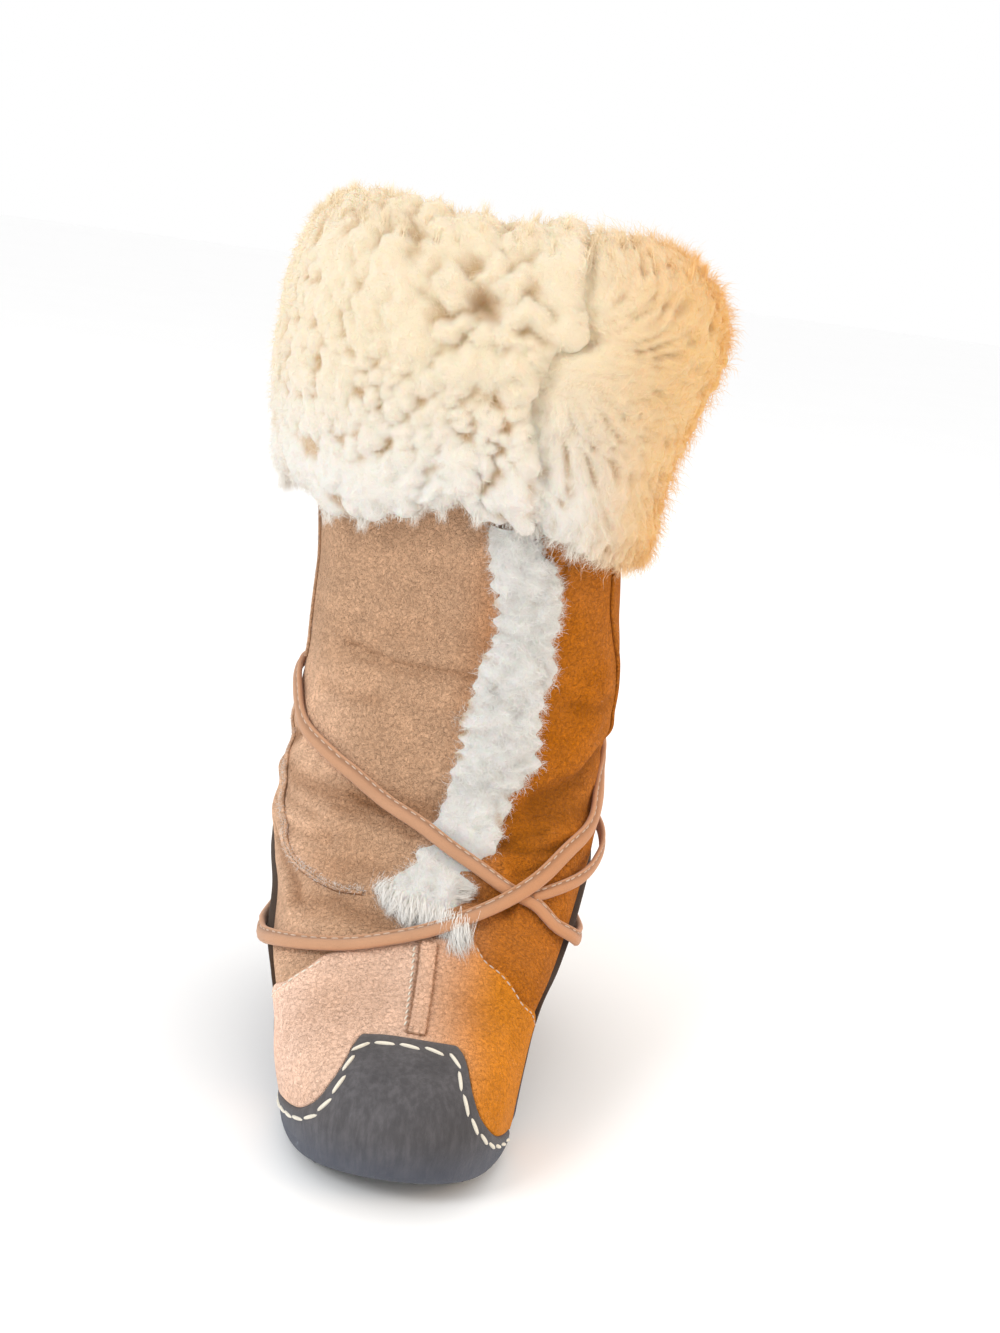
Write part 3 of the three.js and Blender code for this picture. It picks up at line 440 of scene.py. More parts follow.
def evenly(turn, z, lift, pitch):
    """Points a pitch apart along a line of dense places over the leather."""
    centres = boot_point(turn, z, lift)
    steps = np.concatenate([[0], np.cumsum(np.linalg.norm(np.diff(centres, axis=0), axis=1))])
    count = max(int(steps[-1] / pitch), 2)
    places = (np.arange(count) + 0.5) * steps[-1] / count
    return [np.interp(places, steps, column) for column in (turn, z, np.broadcast_to(lift, turn.shape))]


def smooth_route(route, count):
    """A smooth line through a route: its turns, and its heights in millimetres."""
    turn, height = np.array(route).T
    rows = {"place": np.linspace(0, 1, len(route)), "turn": turn, "height": height}
    places = np.linspace(0, 1, count)
    z = read_table(rows, "place", "height", places) * INSTEP_HEIGHT
    return read_table(rows, "place", "turn", places), z


def stitch(axes, length, width, height, dip=0.0, blunt=0.7, rings=9, corners=8):
    """One stitch about (centre, ahead, across, normal): a low drop whose pointed ends may dip."""
    centre, ahead, across, normal = axes
    along = np.linspace(-1, 1, rings)[:, None, None]
    around = np.linspace(0, 2 * math.pi, corners, endpoint=False)[:, None]
    swell = np.sqrt(np.maximum(1 - along**2, 0)) ** blunt
    points = (
        centre
        + ahead * along * length / 2
        + across * swell * np.cos(around) * width / 2
        + normal * (swell * np.sin(around) * height - (1 - swell) * dip)
    )
    return points.reshape(-1, 3), grid_faces(rings, corners, closed=True)


def stitch_row(route, lift, pitch, length, width, height, slant=0.0):
    """A row of stitches whose ends dip into the leather."""
    turn, z = smooth_route(route, 400)
    turn, z, lifts = evenly(turn, z, lift, pitch)
    parts = []
    for centre, ahead, across, normal in zip(*frame_along(turn, z, lifts)):
        axes = (centre, unit(ahead + slant * across), across, normal)
        parts.append(stitch(axes, length, width, height, dip=0.4 * height))
    return joined(parts)


def fibres(roots, directions, lengths, width, curl, seed):
    """Fine wool fibres: curling ribbons that taper to a point, with how far along each point lies."""
    rng = np.random.default_rng(seed)
    count = len(roots)
    side = unit(np.cross(directions, rng.normal(size=(count, 3))))
    other = np.cross(directions, side)
    phase = rng.uniform(0, 2 * math.pi, count)
    spin = rng.uniform(1.5, 4.0, count)
    levels = np.arange(FIBRE_BANDS + 1) / FIBRE_BANDS
    rows = []
    for level in levels:
        bend = curl * lengths * level
        swing = side * (bend * np.sin(phase + spin * level))[:, None]
        swing += other * (bend * (np.cos(phase + spin * level) - np.cos(phase)))[:, None]
        rows.append(roots + directions * (lengths * level)[:, None] + swing)
    points = []
    for level, row in zip(levels[:-1], rows[:-1]):
        half = side * width * (1 - 0.6 * level) / 2
        points += [row - half, row + half]
    points.append(rows[-1])
    points = np.stack(points, axis=1)
    base = np.arange(count)[:, None] * FIBRE_POINTS
    faces = []
    for k in range(0, FIBRE_POINTS - 3, 2):
        faces.extend((base + np.array([[k, k + 1, k + 3, k + 2]])).tolist())
    k = FIBRE_POINTS - 3
    faces.extend((base + np.array([[k, k + 1, k + 2]])).tolist())
    levels_of = np.repeat(levels, [2] * FIBRE_BANDS + [1])
    return points.reshape(-1, 3), faces, np.tile(levels_of, count)


def clumped(bases, tips, radius, per, seed):
    """Pointed locks: fibres that start round a base and draw together towards a tip."""
    rng = np.random.default_rng(seed)
    count = len(bases) * per
    base = np.repeat(bases, per, axis=0)
    tip = np.repeat(tips, per, axis=0)
    spread = rng.normal(0, 0.5, (count, 3))
    roots = base + spread * radius
    aim = tip + spread * radius * 0.22 + rng.normal(0, 0.35, (count, 3)) - roots
    length = np.linalg.norm(aim, axis=1) * rng.uniform(0.75, 1.08, count)
    return fibres(roots, unit(aim), length, 0.2, 0.16, seed)


# Finishes


class Socket:
    """A shader socket that takes part in expressions: each adds the Math node that it needs."""

    def __init__(self, finish, socket):
        self.finish = finish
        self.socket = socket

    def math(self, operation, *values, clamp=False):
        node = self.finish.node(
            "ShaderNodeMath", {"operation": operation, "use_clamp": clamp}, dict(enumerate(values))
        )
        return self.finish.out(node)

    def __add__(self, other):
        return self.math("ADD", self, other)

    __radd__ = __add__

    def __sub__(self, other):
        return self.math("SUBTRACT", self, other)

    def __rsub__(self, other):
        return self.math("SUBTRACT", other, self)

    def __mul__(self, other):
        return self.math("MULTIPLY", self, other)

    __rmul__ = __mul__

    def clip(self):
        return self.math("ADD", self, 0.0, clamp=True)

    def over(self, low, high):
        """Runs smoothly from 0 at low to 1 at high."""
        node = self.finish.node(
            "ShaderNodeMapRange",
            {"interpolation_type": "SMOOTHSTEP"},
            {"Value": self, "From Min": low, "From Max": high},
        )
        return self.finish.out(node)


class Finish:
    """A material made of nodes."""

    def __init__(self, name):
        self.material = bpy.data.materials.new(name)
        self.material.use_nodes = True
        self.tree = self.material.node_tree
        self.tree.nodes.clear()
        place = self.node("ShaderNodeTexCoord")
        self.place = self.out(place, "Object")
        split = self.node("ShaderNodeSeparateXYZ", {}, {"Vector": self.place})
        self.x = self.out(split, "X")
        self.y = self.out(split, "Y")
        self.z = self.out(split, "Z")

    def node(self, kind, settings=None, sockets=None):
        made = self.tree.nodes.new(kind)
        for key, value in (settings or {}).items():
            setattr(made, key, value)
        for key, value in (sockets or {}).items():
            if isinstance(value, Socket):
                self.tree.links.new(value.socket, made.inputs[key])
            else:
                made.inputs[key].default_value = value
        return made

    def out(self, node, name=0):
        return Socket(self, node.outputs[name])

    def stretched(self, scale):
        node = self.node("ShaderNodeVectorMath", {"operation": "MULTIPLY"}, {0: self.place, 1: scale})
        return self.out(node)

    def noise(self, scale, detail=3.0, roughness=0.55, distortion=0.0, vector=None):
        node = self.node("ShaderNodeTexNoise", {}, {
            "Vector": vector or self.place,
            "Scale": scale,
            "Detail": detail,
            "Roughness": roughness,
            "Distortion": distortion,
        })
        return self.out(node, "Fac")

    def value(self, name):
        node = self.node("ShaderNodeAttribute", {"attribute_name": name})
        return self.out(node, "Fac")

    def mix(self, factor, first, second, blend="MIX"):
        node = self.node("ShaderNodeMix", {"data_type": "RGBA", "blend_type": blend}, {
            0: factor,
            6: first,
            7: second,
        })
        return self.out(node, 2)

    def bump(self, height, distance, strength=1.0, under=None):
        sockets = {"Height": height, "Distance": distance, "Strength": strength}
        if under:
            sockets["Normal"] = under
        return self.out(self.node("ShaderNodeBump", {}, sockets))

    def finish(self, colour, roughness, normal, **constants):
        sockets = {"Base Color": colour, "Roughness": roughness, "Normal": normal}
        sockets.update({key.replace("_", " "): value for key, value in constants.items()})
        shader = self.node("ShaderNodeBsdfPrincipled", {}, sockets)
        end = self.node("ShaderNodeOutputMaterial")
        self.tree.links.new(shader.outputs[0], end.inputs["Surface"])
        return self.material


def rgba(colour):
    """A colour with full cover."""
    return (*colour, 1.0)


def tinted(colour, factor):
    """A colour made lighter or darker."""
    return (*[min(c * factor, 1.0) for c in colour], 1.0)


GREY_UP = (1.28, 1.28, 1.28, 1.0)
GREY_DOWN = (0.74, 0.72, 0.7, 1.0)
# Painted cool light: a paler, bluer wash for the suede's inner side low down
PAINTED_COOL_LIGHT = (1.4, 1.46, 1.56, 1.0)


def suede_finish(name, inner, outer, grain=1.0):
    """Napped suede: mottled, brushed, with a fine orange-peel grain, richer on the outer side partly as
    painted warm light, with painted cool light low on the inner side and painted shade in its creases.
    """
    f = Finish(name)
    cloudy = f.noise(18, 4.0, 0.6)
    patchy = f.noise(70, 4.0, 0.62, 0.4)
    peel = f.noise(620, 3.0, 0.6, 0.8)
    nap = f.noise(2000, 2.0, 0.6)
    # Painted warm light, in part: the suede turns richer and more orange towards the outer side.
    warm = (f.x.over(-0.006, 0.036) * 0.95 + (cloudy - 0.5) * 0.3).clip()
    colour = f.mix(warm, rgba(inner), rgba(outer))
    for pattern, low, high, amount, grey in (
        (patchy, 0.4, 0.7, 0.6, GREY_UP),
        (cloudy, 0.5, 0.75, 0.7, GREY_DOWN),
        (peel, 0.45, 0.62, 0.75, GREY_DOWN),
        (nap, 0.5, 0.7, 0.9, GREY_UP),
    ):
        colour = f.mix(pattern.over(low, high) * amount, colour, grey, "MULTIPLY")
    # Painted cool light: the inner side is made paler and bluer low down.
    cool_light_share = (1 - f.x.over(-0.062, -0.03)) * (1 - f.z.over(0.14, 0.19))
    colour = f.mix(cool_light_share * 0.9, colour, PAINTED_COOL_LIGHT, "MULTIPLY")
    # Painted shade: the leather darkens in its creases.
    colour = f.mix(f.value("crease") * 0.6, colour, tinted(outer, 0.38))
    dirt = (1 - f.z.over(0.0, 0.075)) * 0.25 * patchy.over(0.3, 0.7)
    colour = f.mix(dirt, colour, tinted(outer, 0.45))
    grainy = f.bump(peel, 0.0026 * grain, 1.0)
    normal = f.bump(nap, 0.0008, 0.6, grainy)
    roughness = 0.86 + patchy * 0.1
    return f.finish(colour, roughness, normal, Sheen_Weight=0.04, Sheen_Roughness=0.5,
                    Specular_IOR_Level=0.06)


def nubuck_finish(name, colour_of, looks):
    """Dark brushed nubuck, dusty and scuffed, with a painted cool floor reflection that makes it bluer
    and paler low down.
    """
    f = Finish(name)
    streaks = f.noise(1, 4.0, 0.65, 0.0, f.stretched((420.0, 420.0, 90.0)))
    cloudy = f.noise(30, 4.0, 0.6)
    nap = f.noise(1900, 3.0, 0.65)
    scuffs = f.noise(160, 5.0, 0.75, 1.2)
    dusty = f.mix(streaks.over(0.35, 0.72) * 0.55, rgba(colour_of), tinted(colour_of, 1.9))
    dusty = f.mix(cloudy.over(0.4, 0.7) * 0.5, dusty, tinted(colour_of, 0.5))
    # Painted cool reflection of the floor low down; the same band also gets more dust specks.
    low = 1 - f.z.over(0.004, 0.034)
    blue = f.mix(low * 0.6, dusty, (0.08, 0.098, 0.14, 1.0))
    specks = scuffs.over(0.66, 0.74) * (0.25 + low * 0.6)
    colour = f.mix(specks, blue, (0.3, 0.32, 0.36, 1.0))
    colour = f.mix(f.value("edge") * 0.5, colour, rgba(looks.nubuck_edge))
    normal = f.bump(streaks * 0.6 + nap, 0.0006, 0.6)
    return f.finish(colour, 0.85 + nap * 0.1, normal, Sheen_Weight=0.12, Sheen_Roughness=0.45,
                    Specular_IOR_Level=0.15)


def wool_colour(f, tip, warm_tip, white, cloudy):
    """The fleece's colour by place: cream, whiter low down in front, and golden to the outer side, partly
    painted warm light.
    """
    # Painted warm light, in part: the tips turn golden towards the outer side.
    across = (f.x.over(0.02, 0.1) + (cloudy - 0.5) * 0.3).clip()
    colour = f.mix(across, rgba(tip), rgba(warm_tip))
    low = (1 - f.z.over(0.24, 0.32)) * (1 - f.x.over(0.035, 0.075))
    return f.mix((low + (cloudy - 0.5) * 0.3).clip() * 0.85, colour, rgba(white))


def wool_finish(name, tip, warm_tip, looks):
    """Fleece: cream tips over painted tan shade in the crevices, with the fine crimp of wool as bump."""
    f = Finish(name)
    crimp = f.noise(900, 3.0, 0.7, 1.5)
    strands = f.noise(1, 3.0, 0.65, 1.0, f.stretched((1500.0, 1500.0, 500.0)))
    cloudy = f.noise(22, 3.0, 0.55)
    shade = rgba(looks.wool_shade)
    colour = wool_colour(f, tip, warm_tip, looks.wool_white, cloudy)
    # Painted shade: the wool darkens to tan between the curls, where the tip value is low.
    colour = f.mix((1 - f.value("tip").over(0.0, 0.7)) * 0.85, colour, shade)
    colour = f.mix(crimp.over(0.55, 0.8) * 0.12, colour, shade)
    normal = f.bump(crimp * 0.7 + strands * 0.6, 0.0014, 0.8)
    return f.finish(colour, 0.95, normal, Sheen_Weight=0.45, Sheen_Roughness=0.5,
                    Specular_IOR_Level=0.1, Subsurface_Weight=0.3, Subsurface_Scale=0.004)


def fibre_finish(name, tip, warm_tip, shade, looks):
    """Single fibres: paler at their tips, with painted shade towards their roots, and warmer on the outer
    side, partly painted warm light.
    """
    f = Finish(name)
    cloudy = f.noise(40, 2.0, 0.5)
    colour = wool_colour(f, tip, warm_tip, looks.wool_white, cloudy)
    # Painted shade towards the roots and in the crevices, where the tip value is low.
    colour = f.mix((1 - f.value("tip").over(0.0, 0.7)) * 0.45, colour, rgba(shade))
    normal = f.bump(cloudy, 0.0002, 0.2)
    return f.finish(colour, 0.8, normal, Sheen_Weight=0.5, Sheen_Roughness=0.4, Specular_IOR_Level=0.15)


def thread_finish(name, colour_of):
    """Twisted waxed thread."""
    f = Finish(name)
    twist = f.noise(1, 2.0, 0.5, 0.0, f.stretched((1300.0, 1300.0, 2600.0)))
    dirt = f.noise(120, 3.0, 0.6)
    colour = f.mix(dirt.over(0.45, 0.8) * 0.4, rgba(colour_of), tinted(colour_of, 0.6))
    colour = f.mix(twist.over(0.5, 0.7) * 0.3, colour, tinted(colour_of, 0.72))
    return f.finish(colour, 0.7, f.bump(twist, 0.0004, 0.7), Sheen_Weight=0.2, Specular_IOR_Level=0.3)


def lace_finish(name, looks):
    """The lace's suede: pinkish, with worn pale edges, painted shade in its groove and underneath, and
    painted warm light towards the outer side.
    """
    f = Finish(name)
    nap = f.noise(1600, 3.0, 0.65)
    cloudy = f.noise(55, 4.0, 0.6)
    colour = f.mix(cloudy, rgba(looks.lace), tinted(looks.lace, 0.72))
    # Painted warm light: the lace takes the outer suede's colour towards the outer side.
    colour = f.mix(f.x.over(0.0, 0.05) * 0.3, colour, rgba(looks.suede_outer))
    colour = f.mix(f.value("edge") * 0.45, colour, tinted(looks.lace, 1.35))
    # Painted shade in the groove and under the lace.
    colour = f.mix(f.value("crease") * 0.6, colour, tinted(looks.lace, 0.42))
    colour = f.mix(nap.over(0.52, 0.7) * 0.3, colour, tinted(looks.lace, 0.6))
    return f.finish(colour, 0.82, f.bump(nap, 0.0005, 0.6), Sheen_Weight=0.2, Specular_IOR_Level=0.3)


def rubber_finish(name, looks):
    """Matt dark rubber, dusty in its grain."""
    f = Finish(name)
    grain = f.noise(900, 3.0, 0.6)
    dust = f.noise(45, 4.0, 0.65)
    colour = f.mix(dust.over(0.4, 0.75) * 0.5, rgba(looks.rubber), (0.11, 0.1, 0.09, 1.0))
    colour = f.mix(grain.over(0.55, 0.7) * 0.25, colour, (0.06, 0.058, 0.055, 1.0))
    return f.finish(colour, 0.72 + dust * 0.2, f.bump(grain, 0.0003, 0.5), Specular_IOR_Level=0.35)


# Where each piece lies: tables of turn, and height as a share of the instep's height

CAP_EDGE = table(
    "turn height",
    (-0.17, 0.105), (-0.12, 0.173), (-0.088, 0.193), (-0.07, 0.227), (-0.06, 0.264),
    (-0.052, 0.311), (-0.044, 0.36), (-0.039, 0.395), (-0.032, 0.424), (-0.012, 0.43),
    (0.014, 0.428), (0.039, 0.423), (0.046, 0.409), (0.053, 0.38), (0.061, 0.32),
    (0.072, 0.257), (0.088, 0.203), (0.11, 0.153), (0.15, 0.102),
)
VAMP_EDGE = table(
    "turn height",
    (-0.168, 0.37), (-0.15, 0.415), (-0.116, 0.459), (-0.088, 0.509), (-0.07, 0.548),
    (-0.05, 0.573), (-0.022, 0.602), (0.0, 0.618), (0.02, 0.626), (0.037, 0.621),
    (0.05, 0.583), (0.072, 0.55), (0.092, 0.504), (0.12, 0.465), (0.14, 0.44), (0.168, 0.38),
)
COUNTER_EDGE = table(
    "turn height",
    (0.175, 0.47), (0.2, 0.62), (0.24, 0.71), (0.32, 0.76), (0.5, 0.79), (0.68, 0.75),
    (0.76, 0.69), (0.8, 0.6), (0.825, 0.46),
)
CAP_STITCHES = (
    (-0.168, 0.07), (-0.12, 0.135), (-0.086, 0.16), (-0.068, 0.187), (-0.055, 0.237), (-0.047, 0.286),
    (-0.042, 0.341), (-0.034, 0.385), (-0.024, 0.401), (-0.005, 0.404), (0.014, 0.401), (0.034, 0.396),
    (0.042, 0.378), (0.05, 0.321), (0.06, 0.252), (0.074, 0.195), (0.095, 0.14), (0.13, 0.09),
    (0.148, 0.07),
)
VAMP_STITCHES_INNER = ((-0.16, 0.375), (-0.14, 0.41), (-0.116, 0.447), (-0.091, 0.492), (-0.073, 0.528))
VAMP_STITCHES_OUTER = (
    (0.041, 0.602), (0.05, 0.575), (0.062, 0.556), (0.079, 0.523), (0.101, 0.478), (0.125, 0.447),
    (0.158, 0.39),
)
CENTRE_STITCHES = ((-0.004, 0.594), (-0.003, 0.528), (-0.003, 0.445))

LATERAL_SEAM = ((0.17, 1.76), (0.168, 1.66), (0.185, 1.53), (0.205, 1.4), (0.215, 1.25), (0.215, 1.09))
MEDIAL_SEAM = ((-0.225, 1.9), (-0.23, 1.6), (-0.225, 1.28))
INSTEP_SEAM = (
    (-0.222, 1.14), (-0.215, 1.02), (-0.19, 0.9), (-0.15, 0.79), (-0.122, 0.71), (-0.096, 0.69),
    (-0.067, 0.68), (-0.045, 0.685),
)
VAMP_SEAM = ((0.006, 0.6), (0.0065, 0.52), (0.006, 0.431))

# The front fleece's two edges, as turns at each height
FLEECE_EDGES = table(
    "height from to",
    (0.65, -0.022, 0.03), (0.694, -0.031, 0.026), (0.74, -0.018, 0.031), (0.82, -0.006, 0.045),
    (0.87, -0.003, 0.048), (0.93, 0.004, 0.052), (1.01, 0.007, 0.069), (1.07, 0.008, 0.075),
    (1.15, 0.011, 0.073), (1.21, 0.005, 0.069), (1.32, 0.014, 0.068), (1.44, 0.017, 0.077),
    (1.53, 0.026, 0.07), (1.63, 0.025, 0.078), (1.75, 0.018, 0.076), (1.86, 0.013, 0.055),
    (1.93, 0.011, 0.05),
)

# The cuff's hem, at heights that are shares of the collar's
CUFF_HEM = table(
    "turn height",
    (-0.25, 0.688), (-0.138, 0.7), (-0.11, 0.68), (-0.048, 0.695), (-0.01, 0.715), (0.01, 0.705),
    (0.04, 0.697), (0.08, 0.675), (0.12, 0.657), (0.17, 0.65), (0.3, 0.65), (0.5, 0.668), (0.75, 0.688),
)

# The cuff's section from under its hem, out over the fleece and over the fold to the lining. Out is
# the distance from the shaft as a share of the fleece's depth, for the inner and the outer side.
CUFF_SECTION = table(
    "place rise medial lateral",
    (0, 0.06, 0.02, 0.02), (1, 0.0, 0.26, 0.18), (2, -0.02, 0.5, 0.32), (3, 0.06, 0.74, 0.44),
    (4, 0.25, 0.83, 0.54), (5, 0.5, 0.86, 0.82), (6, 0.76, 0.78, 1.1), (7, 0.95, 0.58, 0.92),
    (8, 1.05, 0.36, 0.56), (9, 1.1, 0.12, 0.18), (10, 1.06, -0.1, -0.1), (11, 0.96, -0.18, -0.18),
    (12, 0.6, -0.2, -0.2),
)

# How far the lace's underside lies off the upper, over bare leather, vamp, counter and front fleece
BARE = 0.9
OVER_VAMP = GAP + VAMP_THICKNESS + BARE
OVER_COUNTER = GAP + RAND_THICKNESS + BARE + GAP
OVER_FLEECE = FLEECE_EDGE * 0.5
LACE_ROUTE = table(
    "turn height lift",
    (-0.25, 0.47, OVER_COUNTER), (-0.183, 0.485, OVER_COUNTER), (-0.14, 0.512, OVER_VAMP),
    (-0.087, 0.545, OVER_VAMP), (-0.051, 0.568, OVER_VAMP), (-0.022, 0.59, OVER_FLEECE),
    (0.005, 0.616, OVER_FLEECE), (0.033, 0.652, OVER_FLEECE), (0.062, 0.693, OVER_FLEECE),
    (0.087, 0.742, OVER_FLEECE * 0.7), (0.117, 0.815, BARE), (0.16, 0.87, BARE), (0.2, 0.94, BARE),
    (0.25, 1.04, BARE), (0.35, 1.13, BARE), (0.5, 1.2, BARE), (0.65, 1.235, BARE),
    (0.74, 1.235, BARE), (0.777, 1.213, BARE), (0.82, 1.14, BARE), (0.86, 1.08, BARE),
    (0.896, 1.035, BARE), (0.927, 0.98, BARE), (0.965, 0.903, BARE * 2), (0.988, 0.864, OVER_FLEECE),
    (1.011, 0.808, OVER_FLEECE), (1.035, 0.765, OVER_FLEECE * 0.7), (1.061, 0.719, BARE),
    (1.092, 0.683, BARE), (1.116, 0.631, BARE * 1.5), (1.15, 0.59, OVER_COUNTER),
    (1.2, 0.55, OVER_COUNTER), (1.35, 0.49, OVER_COUNTER), (1.5, 0.47, OVER_COUNTER),
    (1.65, 0.46, OVER_COUNTER), (1.75, 0.47, OVER_COUNTER), (1.817, 0.485, OVER_COUNTER),
)
LACE_END = table(
    "turn height lift",
    (0.083, 0.705, BARE), (0.111, 0.715, BARE), (0.15, 0.725, BARE * 2), (0.19, 0.74, OVER_COUNTER),
    (0.24, 0.76, OVER_COUNTER), (0.3, 0.78, OVER_COUNTER),
)


def edge_height(edge, turn):
    """Height in millimetres of a panel's edge."""
    return read_table(edge, "turn", "height", turn) * INSTEP_HEIGHT


# The boot's own sizes and colours


def length_property(name, description, default):
    """A length in metres, as the add-on's panel shows it."""
    return bpy.props.FloatProperty(
        name=name, description=description, default=default, unit="LENGTH", subtype="DISTANCE"
    )


def colour_property(name, description, default):
    """A colour, as the add-on's panel shows it."""
    return bpy.props.FloatVectorProperty(
        name=name, description=description, default=default, subtype="COLOR"
    )


class BootLooks(bpy.types.PropertyGroup):
    """Sizes and colours of the boot's finishes."""

    curl_depth: length_property("Curl depth", "Depth of the crevices between the curls", 0.005)
    fibre_length: length_property("Fibre length", "Free length of the wool's fibres", 0.0065)
    saddle_stitch: length_property("Saddle stitch", "Length of a stitch of the toe cap", 0.0088)
    # The outer sides' colours are richer partly as painted warm light.
    suede_inner: colour_property("Suede, inner side", "The shaft's inner side", (0.6, 0.365, 0.225))
    suede_outer: colour_property("Suede, outer side", "The shaft's outer side", (0.53, 0.155, 0.002))
    vamp_inner: colour_property("Vamp, inner side", "The vamp's inner side", (0.84, 0.565, 0.42))
    vamp_outer: colour_property("Vamp, outer side", "The vamp's outer side", (0.74, 0.245, 0.006))
    nubuck: colour_property("Nubuck", "The toe cap", (0.088, 0.083, 0.087))
    nubuck_edge: colour_property("Nubuck edge", "Borders of toe cap and counter", (0.1, 0.085, 0.075))
    counter: colour_property("Heel counter", "The heel counter", (0.05, 0.026, 0.014))
    wool: colour_property("Fleece", "The fleece's tips", (0.89, 0.765, 0.56))
    # The golden outer fleece tips are partly painted warm light.
    wool_warm: colour_property("Fleece, outer side", "The tips on the outer side", (0.87, 0.53, 0.17))
    wool_white: colour_property("Fleece, white", "The palest wool", (0.85, 0.84, 0.81))
    # The deep fleece colour is painted shade between the curls.
    wool_shade: colour_property("Fleece, deep", "Between the curls", (0.62, 0.38, 0.17))
    thread: colour_property("Thread", "The stitching", (0.8, 0.74, 0.62))
    lace: colour_property("Lace", "The lace", (0.56, 0.3, 0.17))
    lace_thread: colour_property("Lace thread", "The lace's stitching", (0.62, 0.47, 0.36))
    rubber: colour_property("Rubber", "The outsole", (0.028, 0.026, 0.024))


# The photo's frame, its focal length and where its axis meets the frame, in the photo's pixels
PHOTO_WIDTH = 1000
PHOTO_HEIGHT = 1333
FOCAL_LENGTH = 1790
AXIS_RIGHT = 449
AXIS_DOWN = 727
SENSOR = 36.0
CAMERA_PLACE = (0, -0.736, 0.36)
CAMERA_PITCH = math.radians(15.5)
CAMERA_ROLL = math.radians(-7.5)
FLOOR_HALF = 14.0
LAMP_TARGET = Vector((0, 0, 0.17))


class BOOT_OT_stage(bpy.types.Operator):
    """Pale floor, soft light and the camera"""

    bl_idname = "boot.stage"
    bl_label = "Stage"

    def execute(self, context):
        floor_mesh = bpy.data.meshes.new("floor")
        signs = ((-1, -1), (1, -1), (1, 1), (-1, 1))
        corners = [(x * FLOOR_HALF, y * FLOOR_HALF, 0) for x, y in signs]
        floor_mesh.from_pydata(corners, [], [(0, 1, 2, 3)])
        floor = bpy.data.objects.new("floor", floor_mesh)
        context.scene.collection.objects.link(floor)
        paint = Finish("floor_paint")
        shade = paint.noise(3, 2.0, 0.5)
        colour = paint.mix(shade, (0.99, 0.99, 0.99, 1.0), (0.97, 0.97, 0.97, 1.0))
        floor_mesh.materials.append(paint.finish(colour, 0.9, paint.bump(shade, 0.0001, 0.1)))
        world = bpy.data.worlds.new("studio")
        world.use_nodes = True
        world.node_tree.nodes["Background"].inputs["Color"].default_value = (1.0, 1.0, 1.0, 1.0)
        world.node_tree.nodes["Background"].inputs["Strength"].default_value = 1.0
        context.scene.world = world
        context.scene.view_settings.view_transform = "Standard"
        lamps = (
            ("key", (-1.4, -1.3, 1.5), 0.8, 19.0, (0.95, 0.98, 1.0)),
            ("warm", (1.5, -0.4, 0.8), 0.8, 6.0, (1.0, 0.7, 0.4)),
            ("top", (0.1, 0.6, 1.9), 1.0, 5.0, (1.0, 0.97, 0.92)),
        )
        for name, place, size, power, colour in lamps:
            light = bpy.data.lights.new(name, "AREA")
            light.size = size
            light.energy = power
            light.color = colour
            lamp = bpy.data.objects.new(name, light)
            lamp.location = place
            aim = LAMP_TARGET - Vector(place)
            lamp.rotation_mode = "QUATERNION"
            lamp.rotation_quaternion = aim.to_track_quat("-Z", "Y")
            context.scene.collection.objects.link(lamp)
        ahead = Vector((0, math.cos(CAMERA_PITCH), -math.sin(CAMERA_PITCH)))
        level = Vector((1, 0, 0))
        upward = level.cross(ahead)
        right = level * math.cos(CAMERA_ROLL) - upward * math.sin(CAMERA_ROLL)
        up = upward * math.cos(CAMERA_ROLL) + level * math.sin(CAMERA_ROLL)
        camera = bpy.data.cameras.new("camera")
        camera.sensor_width = SENSOR
        camera.lens = SENSOR * FOCAL_LENGTH / PHOTO_HEIGHT
        camera.shift_x = (PHOTO_WIDTH / 2 - AXIS_RIGHT) / PHOTO_HEIGHT
        camera.shift_y = (AXIS_DOWN - PHOTO_HEIGHT / 2) / PHOTO_HEIGHT
        eye = bpy.data.objects.new("camera", camera)
        turned = Matrix((right, up, -ahead)).transposed()
        eye.matrix_world = Matrix.Translation(CAMERA_PLACE) @ turned.to_4x4()
        context.scene.collection.objects.link(eye)
        context.scene.camera = eye
        return {"FINISHED"}


class BOOT_OT_upper(bpy.types.Operator):
    """The sheepskin upper with its creases, and the fleece inside"""

    bl_idname = "boot.upper"
    bl_label = "Upper"

    def execute(self, context):
        looks = context.scene.boot_looks
        turn, z = round_grid(FEATHER, COLLAR_HEIGHT, 170, 320)
        height, shade = relief(turn, z)
        outside = stand(offset(turn, z, height))
        suede = suede_finish("suede", looks.suede_inner, looks.suede_outer)
        faces = grid_faces(*z.shape, closed=True)
        make_piece("upper_suede", outside, faces, suede, ["upper"], "suede", {"crease": shade})
        turn, z = round_grid(FEATHER + 1, COLLAR_HEIGHT - LINING_DROP, 90, 180)
        pile = np.sin(turn * 2 * math.pi * 31 + z * 0.7) * np.sin(z * 0.62 + turn * 40)
        inside = stand(offset(turn, z, -UPPER_WALL - 1.0 - 0.8 * pile))
        wool = wool_finish("lining", looks.wool, looks.wool, looks)
        faces = grid_faces(*z.shape, closed=True, flip=True)
        # Painted shade that follows the lining's pile.
        make_piece("upper_lining", inside, faces, wool, (), "lining", {"tip": 0.6 - 0.3 * pile})
        return {"FINISHED"}


